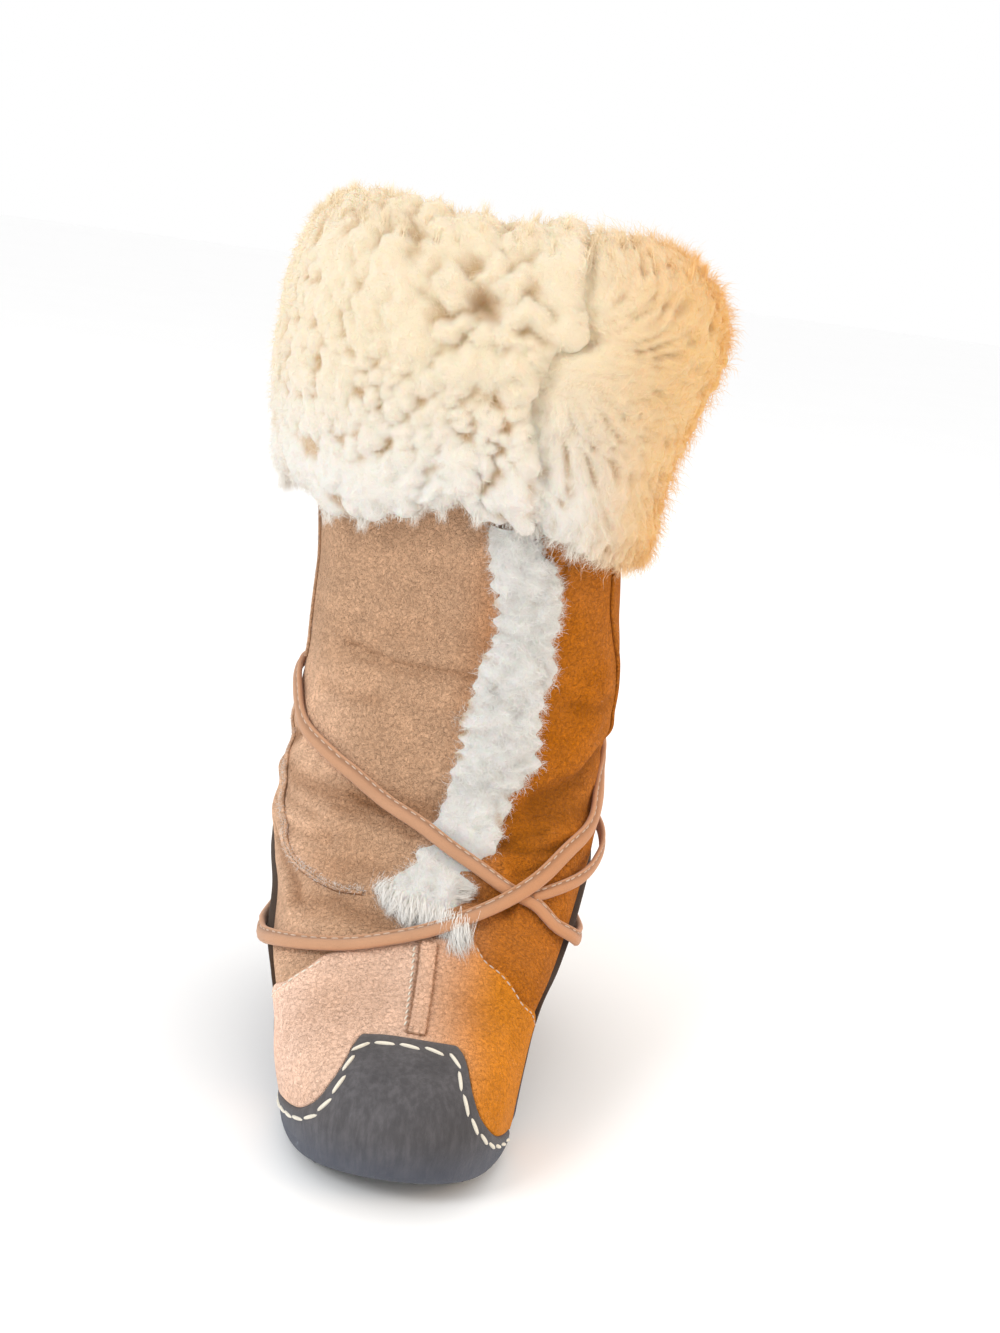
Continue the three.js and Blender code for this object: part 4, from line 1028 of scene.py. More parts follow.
class BOOT_OT_sole(bpy.types.Operator):
    """The rubber outsole and the fleece insole"""

    bl_idname = "boot.sole"
    bl_label = "Sole"

    def execute(self, context):
        looks = context.scene.boot_looks
        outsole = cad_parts["outsole"]
        outsole.data.materials.clear()
        outsole.data.materials.append(rubber_finish("rubber", looks))
        bevel = outsole.modifiers.new("worn edges", "BEVEL")
        bevel.width = 0.0005
        bevel.segments = 2
        bevel.limit_method = "ANGLE"
        turns, shares = round_grid(0, 1, 26, 120)
        rim = offset(turns, FEATHER, -(UPPER_WALL + 1.2))
        middle = rim * np.array([0.0, 1.0, 1.0])
        points = middle + (rim - middle) * (1 - shares[..., None])
        pile = np.sin(points[..., 0] * 0.55) * np.sin(points[..., 1] * 0.5 + points[..., 0] * 0.2)
        points[..., 2] = FEATHER + INSOLE_THICKNESS - 2.5 * (1 - shares) ** 6 + 0.7 * pile
        wool = wool_finish("insole_wool", looks.wool, looks.wool, looks)
        faces = grid_faces(*shares.shape, closed=True)
        # Painted shade: the insole fleece is darker in the low places of its pile.
        tip = 0.65 + 0.3 * pile
        make_piece("insole_fleece", stand(points), faces, wool, ["insole"], "lining", {"tip": tip})
        return {"FINISHED"}


class BOOT_OT_vamp(bpy.types.Operator):
    """The vamp, its raised middle strip and its stitching"""

    bl_idname = "boot.vamp"
    bl_label = "Vamp"

    def execute(self, context):
        looks = context.scene.boot_looks
        turns = np.linspace(-0.168, 0.168, 260)
        over_cap = (turns > CAP_EDGE["turn"][0]) & (turns < CAP_EDGE["turn"][-1] + 0.003)
        low = np.where(over_cap, edge_height(CAP_EDGE, turns) - 1.0, FEATHER)
        high = edge_height(VAMP_EDGE, turns)
        points, faces, turn, z = sheet_over(turns, low, high, GAP, VAMP_THICKNESS, 60, 1.6)
        suede = suede_finish("vamp_suede", looks.vamp_inner, looks.vamp_outer, 0.8)
        # The crease value: painted shade in the creases, and a darker band along the vamp's top edge.
        top = np.exp(-(((high - z) / 0.9) ** 2)) * 0.35
        shade = np.clip(relief(turn, z)[1] * 0.6 + top, 0, 1)
        make_piece("vamp_suede", points, faces, suede, ["vamp"], "vamp_suede", {"crease": shade})
        steps = 60
        places = np.linspace(0, len(VAMP_SEAM) - 1, steps)
        turn, height = [np.interp(places, range(len(VAMP_SEAM)), column) for column in zip(*VAMP_SEAM)]
        centres, _, across, normals = frame_along(turn, height * INSTEP_HEIGHT, GAP + VAMP_THICKNESS)
        rng = np.random.default_rng(5)
        centres = centres + across * rng.normal(0, 0.12, steps)[:, None]
        section = [(-0.5, 0.0), (-0.5, 0.55), (-0.4, 0.95), (-0.2, 0.8), (0.0, 0.85), (0.22, 0.8),
                   (0.4, 1.0), (0.5, 0.6), (0.5, 0.0)]
        strip, faces = tube(centres, across, normals, section, VAMP_SEAM_WIDTH, SEAM_HEIGHT + 0.5)
        # Painted shade along the strip's foot and in its dips.
        tone = np.tile([0.5, 0.3, 0.05, 0.2, 0.1, 0.25, 0.15, 0.7, 0.9], steps)
        make_piece("vamp_strip", strip, faces, suede, ["vamp_seam"], "vamp_suede", {"crease": tone})
        frayed = 1400
        pick = rng.integers(0, len(centres), frayed)
        side = rng.choice([-0.5, 0.5, 0.5], frayed)[:, None]
        roots = centres[pick] + across[pick] * side * VAMP_SEAM_WIDTH
        roots = roots + normals[pick] * rng.uniform(0, 1.4, (frayed, 1))
        roots = roots + rng.normal(0, 0.25, (frayed, 3))
        lean = unit(across[pick] * side * 1.6 + rng.normal(0, 0.7, (frayed, 3)))
        hairs, faces, along = fibres(roots, lean, rng.uniform(0.5, 1.5, frayed), 0.22, 0.5, 6)
        # Painted shade: the frayed fibres darken towards their roots.
        make_piece("vamp_strip_nap", hairs, faces, suede, (), "vamp_suede", {"crease": 0.9 - 0.5 * along})
        thread = thread_finish("thread", looks.thread)
        lift = GAP + VAMP_THICKNESS + 0.1
        rows = [
            stitch_row(VAMP_STITCHES_INNER, lift, 3.1, 2.6, 0.7, 0.4),
            stitch_row(CENTRE_STITCHES, lift, 3.2, 2.8, 0.9, 0.5, 0.3),
        ]
        make_piece("vamp_stitches", *joined(rows), thread, (), "fleece")
        # The vamp's outer stitches are drawn in a dimmer, browner thread.
        dusty = thread_finish("dim_thread", looks.lace_thread)
        row = stitch_row(VAMP_STITCHES_OUTER, lift, 3.1, 2.4, 0.6, 0.3)
        make_piece("vamp_stitches_outer", *row, dusty, (), "fleece")
        return {"FINISHED"}


def rand_sheet(edge, columns):
    """The rand's outer face: from under the sole's edge, round it, and up over the upper to an edge."""
    turns = np.linspace(edge["turn"][0], edge["turn"][-1], columns)
    high = edge_height(edge, turns)
    full = GAP + RAND_THICKNESS
    bend = np.linspace(0, math.pi / 2, 14)[:, None]
    foot_z = np.concatenate([[[RAND_FOOT]], RAND_FOOT + (FEATHER - RAND_FOOT) * (1 - np.cos(bend))])
    foot_out = np.concatenate([[[full - 2 * RAND_TUCK]], full - RAND_TUCK * (1 - np.sin(bend))])
    share = ((1 - np.cos(np.linspace(0, math.pi, 46))) / 2)[1:, None]
    body_z = FEATHER + (high - FEATHER) * share
    z = np.concatenate([foot_z * np.ones((1, columns)), body_z])
    out = np.concatenate([foot_out * np.ones((1, columns)), full * np.ones_like(body_z)])
    turn = np.broadcast_to(turns, z.shape)
    along = np.minimum(turns - turns[0], turns[-1] - turns) * GIRTH
    away = np.minimum(high - z, along)
    points = boot_point(turn, z, lerp(-0.8, out, rounded(away, RAND_THICKNESS)))
    return points, grid_faces(*z.shape), high - z


class BOOT_OT_rand(bpy.types.Operator):
    """The nubuck toe cap with its saddle stitches, and the heel counter"""

    bl_idname = "boot.rand"
    bl_label = "Toe cap and counter"

    def execute(self, context):
        looks = context.scene.boot_looks
        pieces = (
            ("toe_cap_nubuck", "toe_cap", CAP_EDGE, 260, looks.nubuck),
            ("heel_counter_nubuck", "heel_counter", COUNTER_EDGE, 300, looks.counter),
        )
        for name, node, edge, columns, colour in pieces:
            points, faces, below = rand_sheet(edge, columns)
            border = np.exp(-((below / 3.4) ** 2))
            leather = nubuck_finish(name, colour, looks)
            make_piece(name, points, faces, leather, [node], "nubuck", {"edge": border})
        thread = thread_finish("saddle_thread", looks.thread)
        length = looks.saddle_stitch / MM
        row = stitch_row(CAP_STITCHES, GAP + RAND_THICKNESS, length * 1.08, length, 1.55, 0.95, 0.12)
        make_piece("cap_stitches", *row, thread, (), "fleece")
        return {"FINISHED"}


class BOOT_OT_seams(bpy.types.Operator):
    """The raised side seams and the seam over the instep"""

    bl_idname = "boot.seams"
    bl_label = "Seams"

    def execute(self, context):
        looks = context.scene.boot_looks
        suede = suede_finish("seam_suede", looks.suede_inner, looks.suede_outer)
        wool = fibre_finish("seam_fuzz", looks.wool_white, looks.wool_white, looks.lace, looks)
        section = [(-0.5, 0.0), (-0.42, 0.5), (-0.2, 0.95), (-0.04, 0.9), (0.0, 0.55), (0.06, 0.9),
                   (0.25, 0.9), (0.42, 0.5), (0.5, 0.0)]
        # Painted shade at the seam's foot and in its middle groove.
        tone = [0.9, 0.5, 0.0, 0.3, 1.0, 0.3, 0.0, 0.5, 0.9]
        seams = (
            ("seam_lateral", LATERAL_SEAM, 0),
            ("seam_medial", MEDIAL_SEAM, 300),
            ("seam_instep", INSTEP_SEAM, 1500),
        )
        steps = 120
        for seed, (node, route, fuzz) in enumerate(seams):
            turn, z = smooth_route(route, steps)
            centres, _, across, normals = frame_along(turn, z, 0.0)
            points, faces = tube(centres, across, normals, section, SEAM_WIDTH, SEAM_HEIGHT + GAP)
            crease = {"crease": np.tile(tone, steps)}
            make_piece(node + "_suede", points, faces, suede, [node], "suede", crease)
            if not fuzz:
                continue
            rng = np.random.default_rng(40 + seed)
            pick = rng.integers(0, steps, fuzz)
            roots = centres[pick] + across[pick] * rng.normal(0, 0.7, (fuzz, 1)) + normals[pick] * 0.9
            lean = unit(normals[pick] * 0.5 + rng.normal(0, 0.8, (fuzz, 3)))
            hairs, faces, along = fibres(roots, lean, rng.uniform(1.0, 2.6, fuzz), 0.16, 0.5, seed)
            make_piece(node + "_fuzz", hairs, faces, wool, (), "fleece", {"tip": along})
        return {"FINISHED"}


# How sharply the creases between locks are cut, and how far round a lock its dome is worked out
LOCK_BLEND = 5.0
LOCK_REACH = 2.2


def lock_field(u, v, locks):
    """How high rounded locks stand, in their own heights: domes that meet in soft creases.

    Each lock is (u, v, half width, half length, angle, height).
    """
    total = np.full(u.shape, math.exp(-LOCK_BLEND * 0.7))
    for lu, lv, half_width, half_length, angle, level in locks:
        reach = LOCK_REACH * max(half_width, half_length)
        near = np.nonzero((np.abs(u - lu) < reach) & (np.abs(v - lv) < reach))
        du = u[near] - lu
        dv = v[near] - lv
        across = (du * math.cos(angle) - dv * math.sin(angle)) / half_width
        along = (du * math.sin(angle) + dv * math.cos(angle)) / half_length
        total[near] += np.exp(LOCK_BLEND * (level - across * across - along * along))
    return np.log(total) / LOCK_BLEND


# Where the fleece parts in front, in millimetres and turns, and the pit that its locks lie round
SPLIT_LINE = table(
    "z turn",
    (235, 0.048), (270, 0.04), (289, 0.029), (315, 0.034), (324, 0.056), (342, 0.05), (372, 0.06),
)
SPLIT_WIDTH = 0.009
WHORL_TURN = -0.011
WHORL_V = 113

# Where the brushed wool fans out from, and the pitch of the small curls
BRUSH_TURN = 0.03
BRUSH_V = 96
PEBBLE_PITCH = 6.8

# Heights over the cuff's even face, in millimetres, and the depth of its parting as a share of its fleece
PEBBLE_HEIGHT = 2.9
STREAK_HEIGHT = 2.4
SPLIT_RIDGE = 2.2
WHORL_DEPTH = 6
PARTING_SHARE = 0.24

# The last place of the cuff's section, and the part of it where loose fibres grow
CUFF_END = 12
FIBRES_FROM = 0.9
FIBRES_TO = 10.6


def hem_height(turn):
    """Height in millimetres of the cuff's hem."""
    place = np.mod(turn + 0.25, 1) - 0.25
    return read_table(CUFF_HEM, "turn", "height", place) * COLLAR_HEIGHT


def split_turn(z):
    """Turn at which the cuff's fleece parts, at heights in millimetres."""
    return read_table(SPLIT_LINE, "z", "turn", z)


def cuff_base(turn, place):
    """The cuff's even outer face. Place runs along its section, from under the hem to the lining."""
    rise = read_table(CUFF_SECTION, "place", "rise", place)
    outer = 0.5 + 0.5 * np.sin(turn * 2 * math.pi)
    out = lerp(
        read_table(CUFF_SECTION, "place", "medial", place),
        read_table(CUFF_SECTION, "place", "lateral", place),
        outer,
    )
    crown = CUFF_CROWN * np.cos((turn - CROWN_TURN) * 2 * math.pi)
    corners = smoothstep(-wrapped(turn), 0.13, 0.21) + smoothstep(wrapped(turn), 0.12, 0.2)
    crown = (crown - CORNER_DROP * corners) * smoothstep(rise, 0.7, 1.1)
    z = lerp(hem_height(turn), COLLAR_HEIGHT, rise) + crown
    near = (wrapped(turn) - split_turn(z)) / SPLIT_WIDTH
    parting = 1 - PARTING_SHARE * np.exp(-(near**2)) * (out > 0)
    return stand(offset(turn, z, out * CUFF_FLEECE * parting))


def brushed_share(turn, z):
    """Where the cuff's wool is brushed out rather than curled: right of the split, and round the back."""
    place = wrapped(turn)
    right = smoothstep(place - split_turn(z), -0.004, 0.01)
    back = smoothstep(place, 0.5, 0.62)
    return right * (1 - 0.5 * back)


def cuff_locks(seed=11):
    """Centres, sizes and directions of the cuff's locks, over (round, up) in millimetres."""
    rng = np.random.default_rng(seed)
    locks = []

    def add(u, v, half_width, half_length, angle):
        level = rng.uniform(0.65, 1.1)
        for shift in (-CUFF_GIRTH, 0, CUFF_GIRTH):
            if -40 < u + shift < CUFF_GIRTH + 40:
                locks.append((u + shift, v, half_width, half_length, angle, level))

    def free(u, v):
        near = np.hypot(wrapped(u / CUFF_GIRTH) * CUFF_GIRTH - WHORL_TURN * CUFF_GIRTH, v - WHORL_V)
        return near > 26

    # Rows of locks up the cuff, and then rings of them round the pit
    bands = table(
        "low high rows pitch half_width half_length wander",
        (10, 26, 2, 9.5, 5.7, 13.5, 0.25),
        (34, 50, 2, 9.0, 5.2, 10.5, 0.45),
        (58, 94, 5, 8.2, 4.8, 6.0, 1.6),
        (102, 116, 2, 10.0, 6.0, 9.5, 0.7),
        (130, 148, 2, 12.5, 7.6, 14.5, 0.3),
        (165, 200, 4, 11.0, 7.4, 10.0, 0.8),
    )
    for low, high, rows, pitch, half_width, half_length, wander in zip(*bands.values()):
        gap = (high - low) / max(rows - 1, 1)
        for v in np.linspace(low, high, int(rows)):
            count = int(CUFF_GIRTH / pitch)
            slip = rng.uniform(0, pitch)
            for i in range(count):
                u = (i + rng.uniform(-0.42, 0.42)) * pitch + slip
                level = v + rng.uniform(-0.45, 0.45) * gap
                size = rng.uniform(0.72, 1.3)
                if free(u, level):
                    add(u, level, half_width * size, half_length * size, rng.normal(0, wander * 0.5))
    rings = table(
        "away count half_width half_length first last",
        (13, 9, 5.2, 8.5, 0, 360),
        (31, 9, 7.6, 13.5, -40, 190),
        (27, 6, 6.8, 10.0, 205, 305),
    )
    for away, count, half_width, half_length, first, last in zip(*rings.values()):
        for angle in np.linspace(math.radians(first), math.radians(last), int(count)):
            angle = angle + rng.normal(0, 0.1)
            u = WHORL_TURN * CUFF_GIRTH + away * math.cos(angle)
            v = WHORL_V + away * math.sin(angle)
            add(np.mod(u, CUFF_GIRTH), v, half_width, half_length, math.pi / 2 - angle)
    return locks


def fine_locks(girth, low, high, pitch, seed=17):
    """Small round curls all over, to lie on the larger locks."""
    rng = np.random.default_rng(seed)
    count = int(girth / pitch)
    locks = []
    for row, v in enumerate(np.arange(low, high, pitch * 0.85)):
        for i in range(-2, count + 3):
            u = (i + (row % 2) / 2 + rng.uniform(-0.35, 0.35)) * girth / count
            size = pitch * 0.53 * rng.uniform(0.8, 1.2)
            locks.append((u, v + rng.uniform(-1.4, 1.4), size, size * rng.uniform(1.0, 1.6),
                          rng.uniform(-1, 1), rng.uniform(0.6, 1.1)))
    return locks


def cuff_grid(rows, columns):
    """The cuff's even face as a grid: turns, places on its section, points, and millimetres up it."""
    turn, place = round_grid(0, CUFF_END, rows, columns)
    base = cuff_base(turn, place)
    steps = np.linalg.norm(np.diff(base, axis=0), axis=-1).mean(axis=1)
    v = np.concatenate([[0], np.cumsum(steps)])[:, None] * np.ones((1, columns))
    return turn, place, base, v


def brush_flow(turn, v):
    """The direction of the brushed wool, which fans out from one place, and its streaks."""
    beam_u = (wrapped(turn) - BRUSH_TURN) * CUFF_GIRTH
    beam = np.arctan2(v - BRUSH_V, beam_u)
    far = np.hypot(beam_u, v - BRUSH_V)
    sway = 2.2 * np.sin(far * 0.07 + 3 * beam) + 1.4 * np.sin(far * 0.19 - 5 * beam)
    streaks = 0.5 * np.sin(21 * beam + sway) + 0.5 * np.sin(47 * beam - 1.7 * sway)
    streaks = streaks * (0.6 + 0.4 * np.sin(far * 0.16 + 7 * np.sin(9 * beam)))
    return beam, streaks * smoothstep(far, 10, 40) * (1 - smoothstep(wrapped(turn), 0.3, 0.45))


def cuff_relief(turn, place, z, v, curl_depth):
    """How far the wool stands over the cuff's even face, and how near its tips each point lies, which the
    fleece paints as shade.
    """
    u = turn * CUFF_GIRTH
    bend_u = u + 1.6 * np.sin(v * 0.31 + u * 0.05) + 0.9 * np.sin(v * 0.83 + u * 0.37)
    bend_v = v + 1.4 * np.sin(u * 0.35 + 1.7) + 0.8 * np.sin(u * 0.9 + v * 0.2)
    curl = lock_field(bend_u, bend_v, cuff_locks())
    small_locks = fine_locks(CUFF_GIRTH, 10, 165, PEBBLE_PITCH)
    pebbles = np.clip(lock_field(u + 0.5 * np.sin(v * 1.1), v, small_locks), -0.5, 1)
    brushed = brushed_share(turn, z)
    streaks = brush_flow(turn, v)[1]
    fold = smoothstep(place, 9.4, 10.6)
    whorl = np.hypot((wrapped(turn) - WHORL_TURN) * CUFF_GIRTH, v - WHORL_V)
    firm = 0.45 + 0.55 * smoothstep(wrapped(turn), -0.15, -0.03)
    middle = smoothstep(v, 34, 52) * (1 - smoothstep(v, 112, 130)) * smoothstep(whorl, 24, 44)
    fine = 0.25 + 0.75 * middle
    depth = curl_depth * firm * (1 - 0.62 * middle) * (1 - 0.8 * brushed) * (1 - 0.6 * fold)
    height = (curl - 0.55) * depth * smoothstep(place, 0.4, 1.6)
    small = (pebbles - 0.4) * fine * (1 - 0.85 * brushed)
    height = height + small * PEBBLE_HEIGHT * (0.5 + 0.5 * firm) * smoothstep(place, 1, 2)
    height = height + brushed * STREAK_HEIGHT * streaks * (1 - fold) * smoothstep(place, 1.0, 2.5)
    height = height - WHORL_DEPTH * np.exp(-((whorl / 5.5) ** 2))
    ridge = split_turn(z) - wrapped(turn)
    beside = smoothstep(ridge, -0.003, 0.008) * (1 - smoothstep(ridge, 0.02, 0.07))
    height = height + SPLIT_RIDGE * beside
    # The tip value is painted shade: low in the crevices, in the brushed streaks' grooves and in the pit.
    tip = np.clip(0.32 + curl * 0.65 * (1 - 0.6 * middle) + pebbles * 0.6 * fine, 0, 1)
    tip = lerp(tip, np.clip(0.66 + 0.55 * streaks, 0.1, 1), 0.85 * brushed)
    return height, tip * (1 - 0.8 * np.exp(-((whorl / 5) ** 2)))


class BOOT_OT_cuff(bpy.types.Operator):
    """The folded fleece cuff: curls, hanging locks and loose fibres"""

    bl_idname = "boot.cuff"
    bl_label = "Cuff"

    def execute(self, context):
        looks = context.scene.boot_looks
        rows = 190
        columns = 480
        turn, place, base, v = cuff_grid(rows, columns)
        around = np.roll(base, -1, axis=1) - np.roll(base, 1, axis=1)
        upward = np.gradient(base, axis=0)
        normal = unit(np.cross(around, upward))
        height, tip = cuff_relief(turn, place, base[..., 2], v, looks.curl_depth / MM)
        points = base + normal * height[..., None]
        wool = wool_finish("cuff_wool", looks.wool, looks.wool_warm, looks)
        faces = grid_faces(rows, columns, closed=True)
        make_piece("cuff_fleece", points, faces, wool, ["cuff"], "fleece", {"tip": tip})
        brushed = brushed_share(turn, base[..., 2])
        beam = brush_flow(turn, v)[0]
        rng = np.random.default_rng(21)
        loose = fibre_finish("cuff_fibres", looks.wool, looks.wool_warm, looks.wool_shade, looks)
        lowest = int(rows * FIBRES_FROM / CUFF_END)
        highest = int(rows * FIBRES_TO / CUFF_END)
        for part in range(2):
            r = rng.integers(lowest, highest, CUFF_FIBRES)
            c = rng.integers(0, columns, CUFF_FIBRES)
            roots = points[r, c] + rng.uniform(-0.6, 0.6, (CUFF_FIBRES, 3))
            out = normal[r, c]
            up = unit(upward[r, c])
            soft = brushed[r, c][:, None]
            aim = beam[r, c][:, None]
            fan = np.cross(out, up) * np.cos(aim) + up * np.sin(aim)
            flow = unit(lerp(-up, fan, soft)) * (0.5 + 0.5 * soft)
            lean = out * rng.uniform(0.25, 0.9, (CUFF_FIBRES, 1)) * (1 - 0.4 * soft) + flow
            lean = unit(lean + rng.normal(0, 0.4, (CUFF_FIBRES, 3)))
            longer = looks.fibre_length / MM * (0.5 + 0.6 * soft[:, 0])
            longer = longer * rng.uniform(0.4, 1.2, CUFF_FIBRES)
            hairs, faces, along = fibres(roots, lean, longer, 0.2, 0.5, 70 + part)
            # Each fibre takes the painted shade of the wool under it, darker at its root, with a random
            # tone.
            tone = np.repeat(tip[r, c] + rng.uniform(-0.42, 0.2, CUFF_FIBRES), FIBRE_POINTS)
            shade = {"tip": np.clip(tone * 0.75 + along * 0.35, 0, 1)}
            make_piece(f"cuff_fibres_{part + 1}", hairs, faces, loose, (), "fleece", shade)
        fringes = table(
            "level spread count length stand_out upward",
            (12, 6, 120, 9.0, 0.3, -1.0),
            (140, 6, 70, 6.5, 0.2, 1.0),
            (150, 5, 50, 7.5, 0.1, 1.0),
        )
        bases = []
        tips = []
        for level, spread, count, length, stand_out, rise in zip(*fringes.values()):
            count = int(count)
            r = np.argmin(np.abs(v[:, :1] - (level + rng.uniform(-spread, spread, count))), axis=0)
            slots = (np.arange(count) + rng.uniform(-0.4, 0.4, count)) * columns / count
            c = slots.astype(int) % columns
            aim = unit(normal[r, c] * stand_out + rng.normal(0, 0.2, (count, 3)) + (0, 0, rise))
            bases.append(points[r, c] - aim * 4)
            tips.append(points[r, c] + aim * length * rng.uniform(0.4, 1.0, (count, 1)))
        bases = np.concatenate(bases)
        tips = np.concatenate(tips)
        hairs, faces, along = clumped(bases, tips, 3.0, FRINGE_FIBRES, 91)
        # Painted shade, darker at the roots of the locks.
        shade = {"tip": np.clip(0.45 + along * 0.5, 0, 1)}
        make_piece("cuff_fringe", hairs, faces, loose, (), "fleece", shade)
        return {"FINISHED"}


FLEECE_LOW = FLEECE_EDGES["height"][0]
FLEECE_HIGH = FLEECE_EDGES["height"][-1]


def front_locks(rng, count):
    """The locks of the front fleece, spread along it and across it."""
    locks = []
    for index in range(count):
        level = lerp(FLEECE_LOW, FLEECE_HIGH, (index + rng.uniform(0, 1)) / count)
        left = float(read_table(FLEECE_EDGES, "height", "from", level))
        right = float(read_table(FLEECE_EDGES, "height", "to", level))
        spot = lerp(left, right, np.mod(index * 0.618 + rng.uniform(-0.1, 0.1), 1))
        size = rng.uniform(3.6, 6.2)
        angle = rng.uniform(-0.9, 0.9)
        rise = rng.uniform(0.7, 1.15)
        locks.append((spot * GIRTH, level * INSTEP_HEIGHT, size, size * 1.3, angle, rise))
    return locks


class BOOT_OT_front_fleece(bpy.types.Operator):
    """The fleece down the front opening"""

    bl_idname = "boot.front_fleece"
    bl_label = "Front fleece"

    def execute(self, context):
        looks = context.scene.boot_looks
        rows = 170
        columns = 44
        height = np.linspace(FLEECE_LOW, FLEECE_HIGH, rows)[:, None]
        share = np.linspace(0, 1, columns)
        left = read_table(FLEECE_EDGES, "height", "from", height)
        right = read_table(FLEECE_EDGES, "height", "to", height)
        z = height * INSTEP_HEIGHT
        left = left - (1.2 * np.abs(np.sin(z * 0.36)) + 0.8 * np.sin(z * 0.83 + 1) - 0.4) / GIRTH
        right = right + (1.4 * np.abs(np.sin(z * 0.31 + 0.7)) + 0.9 * np.sin(z * 0.71) - 0.4) / GIRTH
        turn = left + (right - left) * share
        z = z * np.ones((1, columns))
        rng = np.random.default_rng(8)
        u = turn * GIRTH
        bend_u = u + 0.9 * np.sin(z * 0.5 + u * 0.2) + 0.5 * np.sin(z * 1.1)
        bend_v = z + 0.8 * np.sin(u * 0.7)
        curl = np.clip(lock_field(bend_u, bend_v, front_locks(rng, 110)), -0.3, 1.2)
        dome = np.sqrt(np.clip(1 - (2 * share - 1) ** 2, 0, 1)) ** 0.7
        end = smoothstep(height, FLEECE_LOW, 0.7)
        pressed = lace_press(turn, z)
        lift = dome * end * (FLEECE_EDGE - 1.8 + 5.5 * (curl - 0.6)) * pressed - 0.8
        points = stand(offset(turn, z, lift))
        wool = wool_finish("strip_wool", looks.wool_white, looks.wool_white, looks)
        faces = grid_faces(rows, columns)
        # Painted shade between the locks.
        tip = {"tip": np.clip(0.2 + curl, 0, 1)}
        make_piece("front_fleece_wool", points, faces, wool, ["front_fleece"], "fleece", tip)
        r = rng.integers(2, rows - 2, FRONT_FIBRES)
        c = rng.integers(1, columns - 1, FRONT_FIBRES)
        out = unit(np.cross(np.gradient(points, axis=1), np.gradient(points, axis=0)))
        roots = points[r, c] + rng.uniform(-0.5, 0.5, (FRONT_FIBRES, 3))
        lean = out[r, c] * rng.uniform(0.2, 0.9, (FRONT_FIBRES, 1))
        lean = unit(lean + rng.normal(0, 0.6, (FRONT_FIBRES, 3)))
        length = rng.uniform(1.6, 4.4, FRONT_FIBRES) * pressed[r, c]
        hairs, faces, along = fibres(roots, lean, length, 0.16, 0.6, 33)
        loose = fibre_finish("strip_fibres", looks.wool_white, looks.wool_white, looks.wool_shade, looks)
        # Each fibre takes the painted shade of the locks under it, darker at its root, with a random
        # tone.
        tone = np.clip(0.2 + curl[r, c] + rng.uniform(-0.4, 0.2, FRONT_FIBRES), 0, 1)
        shade = {"tip": np.clip(np.repeat(tone, FIBRE_POINTS) * 0.7 + along * 0.4, 0, 1)}
        make_piece("front_fleece_fibres", hairs, faces, loose, (), "fleece", shade)
        spots = table(
            "turn height tip_turn tip_height",
            (0.024, 0.64, 0.027, 0.57), (0.03, 0.635, 0.034, 0.585), (0.018, 0.645, 0.019, 0.605),
            (-0.03, 0.7, -0.036, 0.685), (-0.027, 0.685, -0.03, 0.66), (-0.021, 0.672, -0.025, 0.645),
            (-0.015, 0.665, -0.014, 0.63), (-0.009, 0.66, -0.011, 0.62), (-0.003, 0.66, -0.001, 0.63),
            (0.003, 0.655, 0.002, 0.615), (0.008, 0.655, 0.01, 0.62), (0.014, 0.65, 0.013, 0.61),
            (0.02, 0.7, 0.032, 0.71), (0.024, 0.72, 0.036, 0.725),
        )
        bases = boot_point(spots["turn"], spots["height"] * INSTEP_HEIGHT, 2.6)
        tips = boot_point(spots["tip_turn"], spots["tip_height"] * INSTEP_HEIGHT, 2.0)
        hairs, faces, along = clumped(bases, tips, 5.0, TUFT_FIBRES, 35)
        # Painted shade, darker at the roots of the tufts.
        shade = {"tip": np.clip(0.45 + along * 0.6, 0, 1)}
        make_piece("front_tuft", hairs, faces, loose, (), "fleece", shade)
        return {"FINISHED"}


def lace_press(turn, z):
    """How far the wool keeps its depth under the lace: 0 right under it, 1 away from it."""
    route = list(zip(LACE_ROUTE["turn"], LACE_ROUTE["height"]))
    first = [row for row in route if -0.1 < row[0] < 0.12]
    again = [(t - 1, h) for t, h in route if 0.9 < t < 1.12]
    away = np.minimum(route_distance(turn, z, first), route_distance(turn, z, again))
    return 0.3 + 0.7 * smoothstep(away, LACE_WIDTH * 0.4, LACE_WIDTH * 1.1)


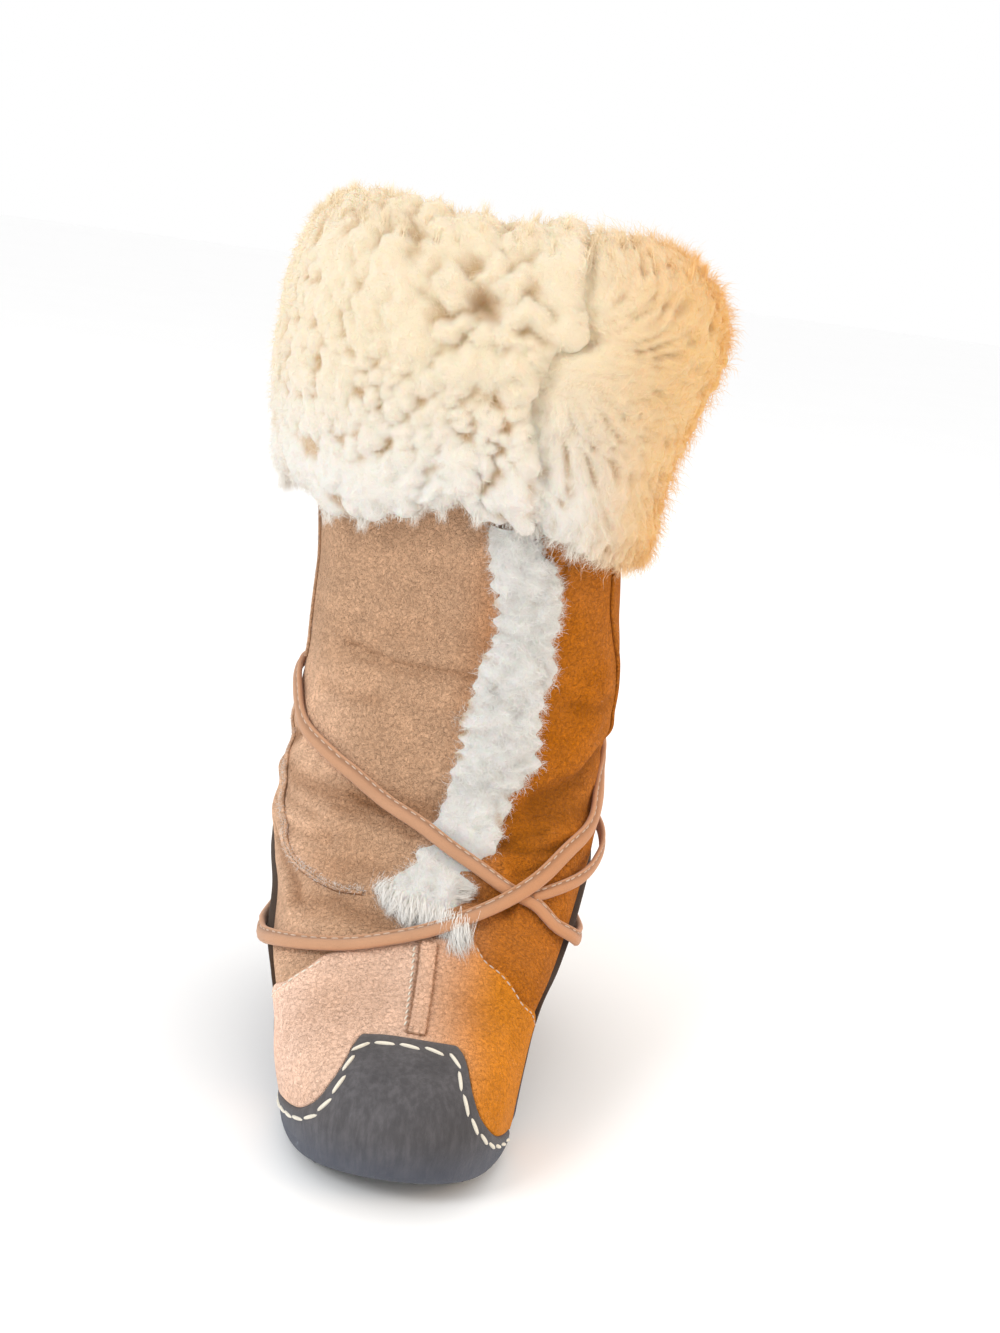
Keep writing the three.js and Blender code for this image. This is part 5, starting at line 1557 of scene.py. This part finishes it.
class BOOT_OT_lace(bpy.types.Operator):
    """The stitched lace, wound twice round the ankle"""

    bl_idname = "boot.lace"
    bl_label = "Lace"

    def execute(self, context):
        looks = context.scene.boot_looks
        section = [(0.5, 0.42), (0.47, 0.7), (0.38, 0.9), (0.2, 1.0), (0.0, 0.98), (-0.12, 0.9),
                   (-0.22, 0.72), (-0.3, 0.66), (-0.38, 0.74), (-0.46, 0.74), (-0.5, 0.55),
                   (-0.5, 0.3), (-0.4, 0.06), (0.0, 0.0), (0.4, 0.08)]
        edge = [0.3, 0.5, 0.2, 0.3, 0.2, 0.0, 0.0, 0.0, 0.6, 1.0, 0.8, 0.3, 0.0, 0.0, 0.0]
        # Painted shade in the lace's stitched groove and on its underside.
        groove = [0.0, 0.0, 0.0, 0.0, 0.0, 0.25, 0.8, 1.0, 0.5, 0.1, 0.1, 0.3, 0.6, 0.6, 0.3]
        parts = []
        edges = []
        grooves = []
        stitches = []
        runs = ((LACE_ROUTE, 620, 1.0), (LACE_END, 60, 0.8))
        for route, steps, size in runs:
            places = np.linspace(route["turn"][0], route["turn"][-1], steps)
            z = read_table(route, "turn", "height", places) * INSTEP_HEIGHT
            lift = read_table(route, "turn", "lift", places)
            centres, ahead, across, normals = taut_frame(places, z, lift)
            width = LACE_WIDTH * size
            thickness = LACE_THICKNESS * size
            parts.append(tube(centres, across, normals, section, width, thickness))
            edges.append(np.tile(edge, steps))
            grooves.append(np.tile(groove, steps))
            lengths = np.concatenate([[0], np.cumsum(np.linalg.norm(np.diff(centres, axis=0), axis=1))])
            count = int(lengths[-1] / LACE_STITCH_PITCH)
            spots = (np.arange(count) + 0.5) * lengths[-1] / count
            for i in np.clip(np.searchsorted(lengths, spots), 1, steps - 1):
                middle = centres[i] - across[i] * 0.31 * width + normals[i] * 0.68 * thickness
                axes = (middle, ahead[i], across[i], normals[i])
                stitches.append(stitch(axes, 3.2, 0.68, 0.3, blunt=0.6, rings=7, corners=6))
        points, faces = joined(parts)
        suede = lace_finish("lace_suede", looks)
        values = {"edge": np.concatenate(edges), "crease": np.concatenate(grooves)}
        make_piece("lace_suede", points, faces, suede, ["lace"], "lace_leather", values)
        thread = thread_finish("lace_thread", looks.lace_thread)
        make_piece("lace_stitches", *joined(stitches), thread, (), "fleece")
        return {"FINISHED"}


class BOOT_PT_panel(bpy.types.Panel):
    """The boot's sizes, colours and pieces"""

    bl_idname = "BOOT_PT_panel"
    bl_label = "Mukluk boot"
    bl_space_type = "VIEW_3D"
    bl_region_type = "UI"
    bl_category = "Mukluk boot"

    def draw(self, context):
        looks = context.scene.boot_looks
        for name in BootLooks.__annotations__:
            self.layout.prop(looks, name)
        for operator in OPERATORS:
            self.layout.operator(operator.bl_idname)


OPERATORS = (
    BOOT_OT_stage,
    BOOT_OT_upper,
    BOOT_OT_sole,
    BOOT_OT_vamp,
    BOOT_OT_rand,
    BOOT_OT_seams,
    BOOT_OT_front_fleece,
    BOOT_OT_cuff,
    BOOT_OT_lace,
)


def register():
    for made in (BootLooks, *OPERATORS, BOOT_PT_panel):
        bpy.utils.register_class(made)
    bpy.types.Scene.boot_looks = bpy.props.PointerProperty(type=BootLooks)


def unregister():
    del bpy.types.Scene.boot_looks
    for made in reversed((BootLooks, *OPERATORS, BOOT_PT_panel)):
        bpy.utils.unregister_class(made)


def main():
    register()
    for operator in OPERATORS:
        group, name = operator.bl_idname.split(".")
        getattr(getattr(bpy.ops, group), name)()


if __name__ == "__main__":
    main()
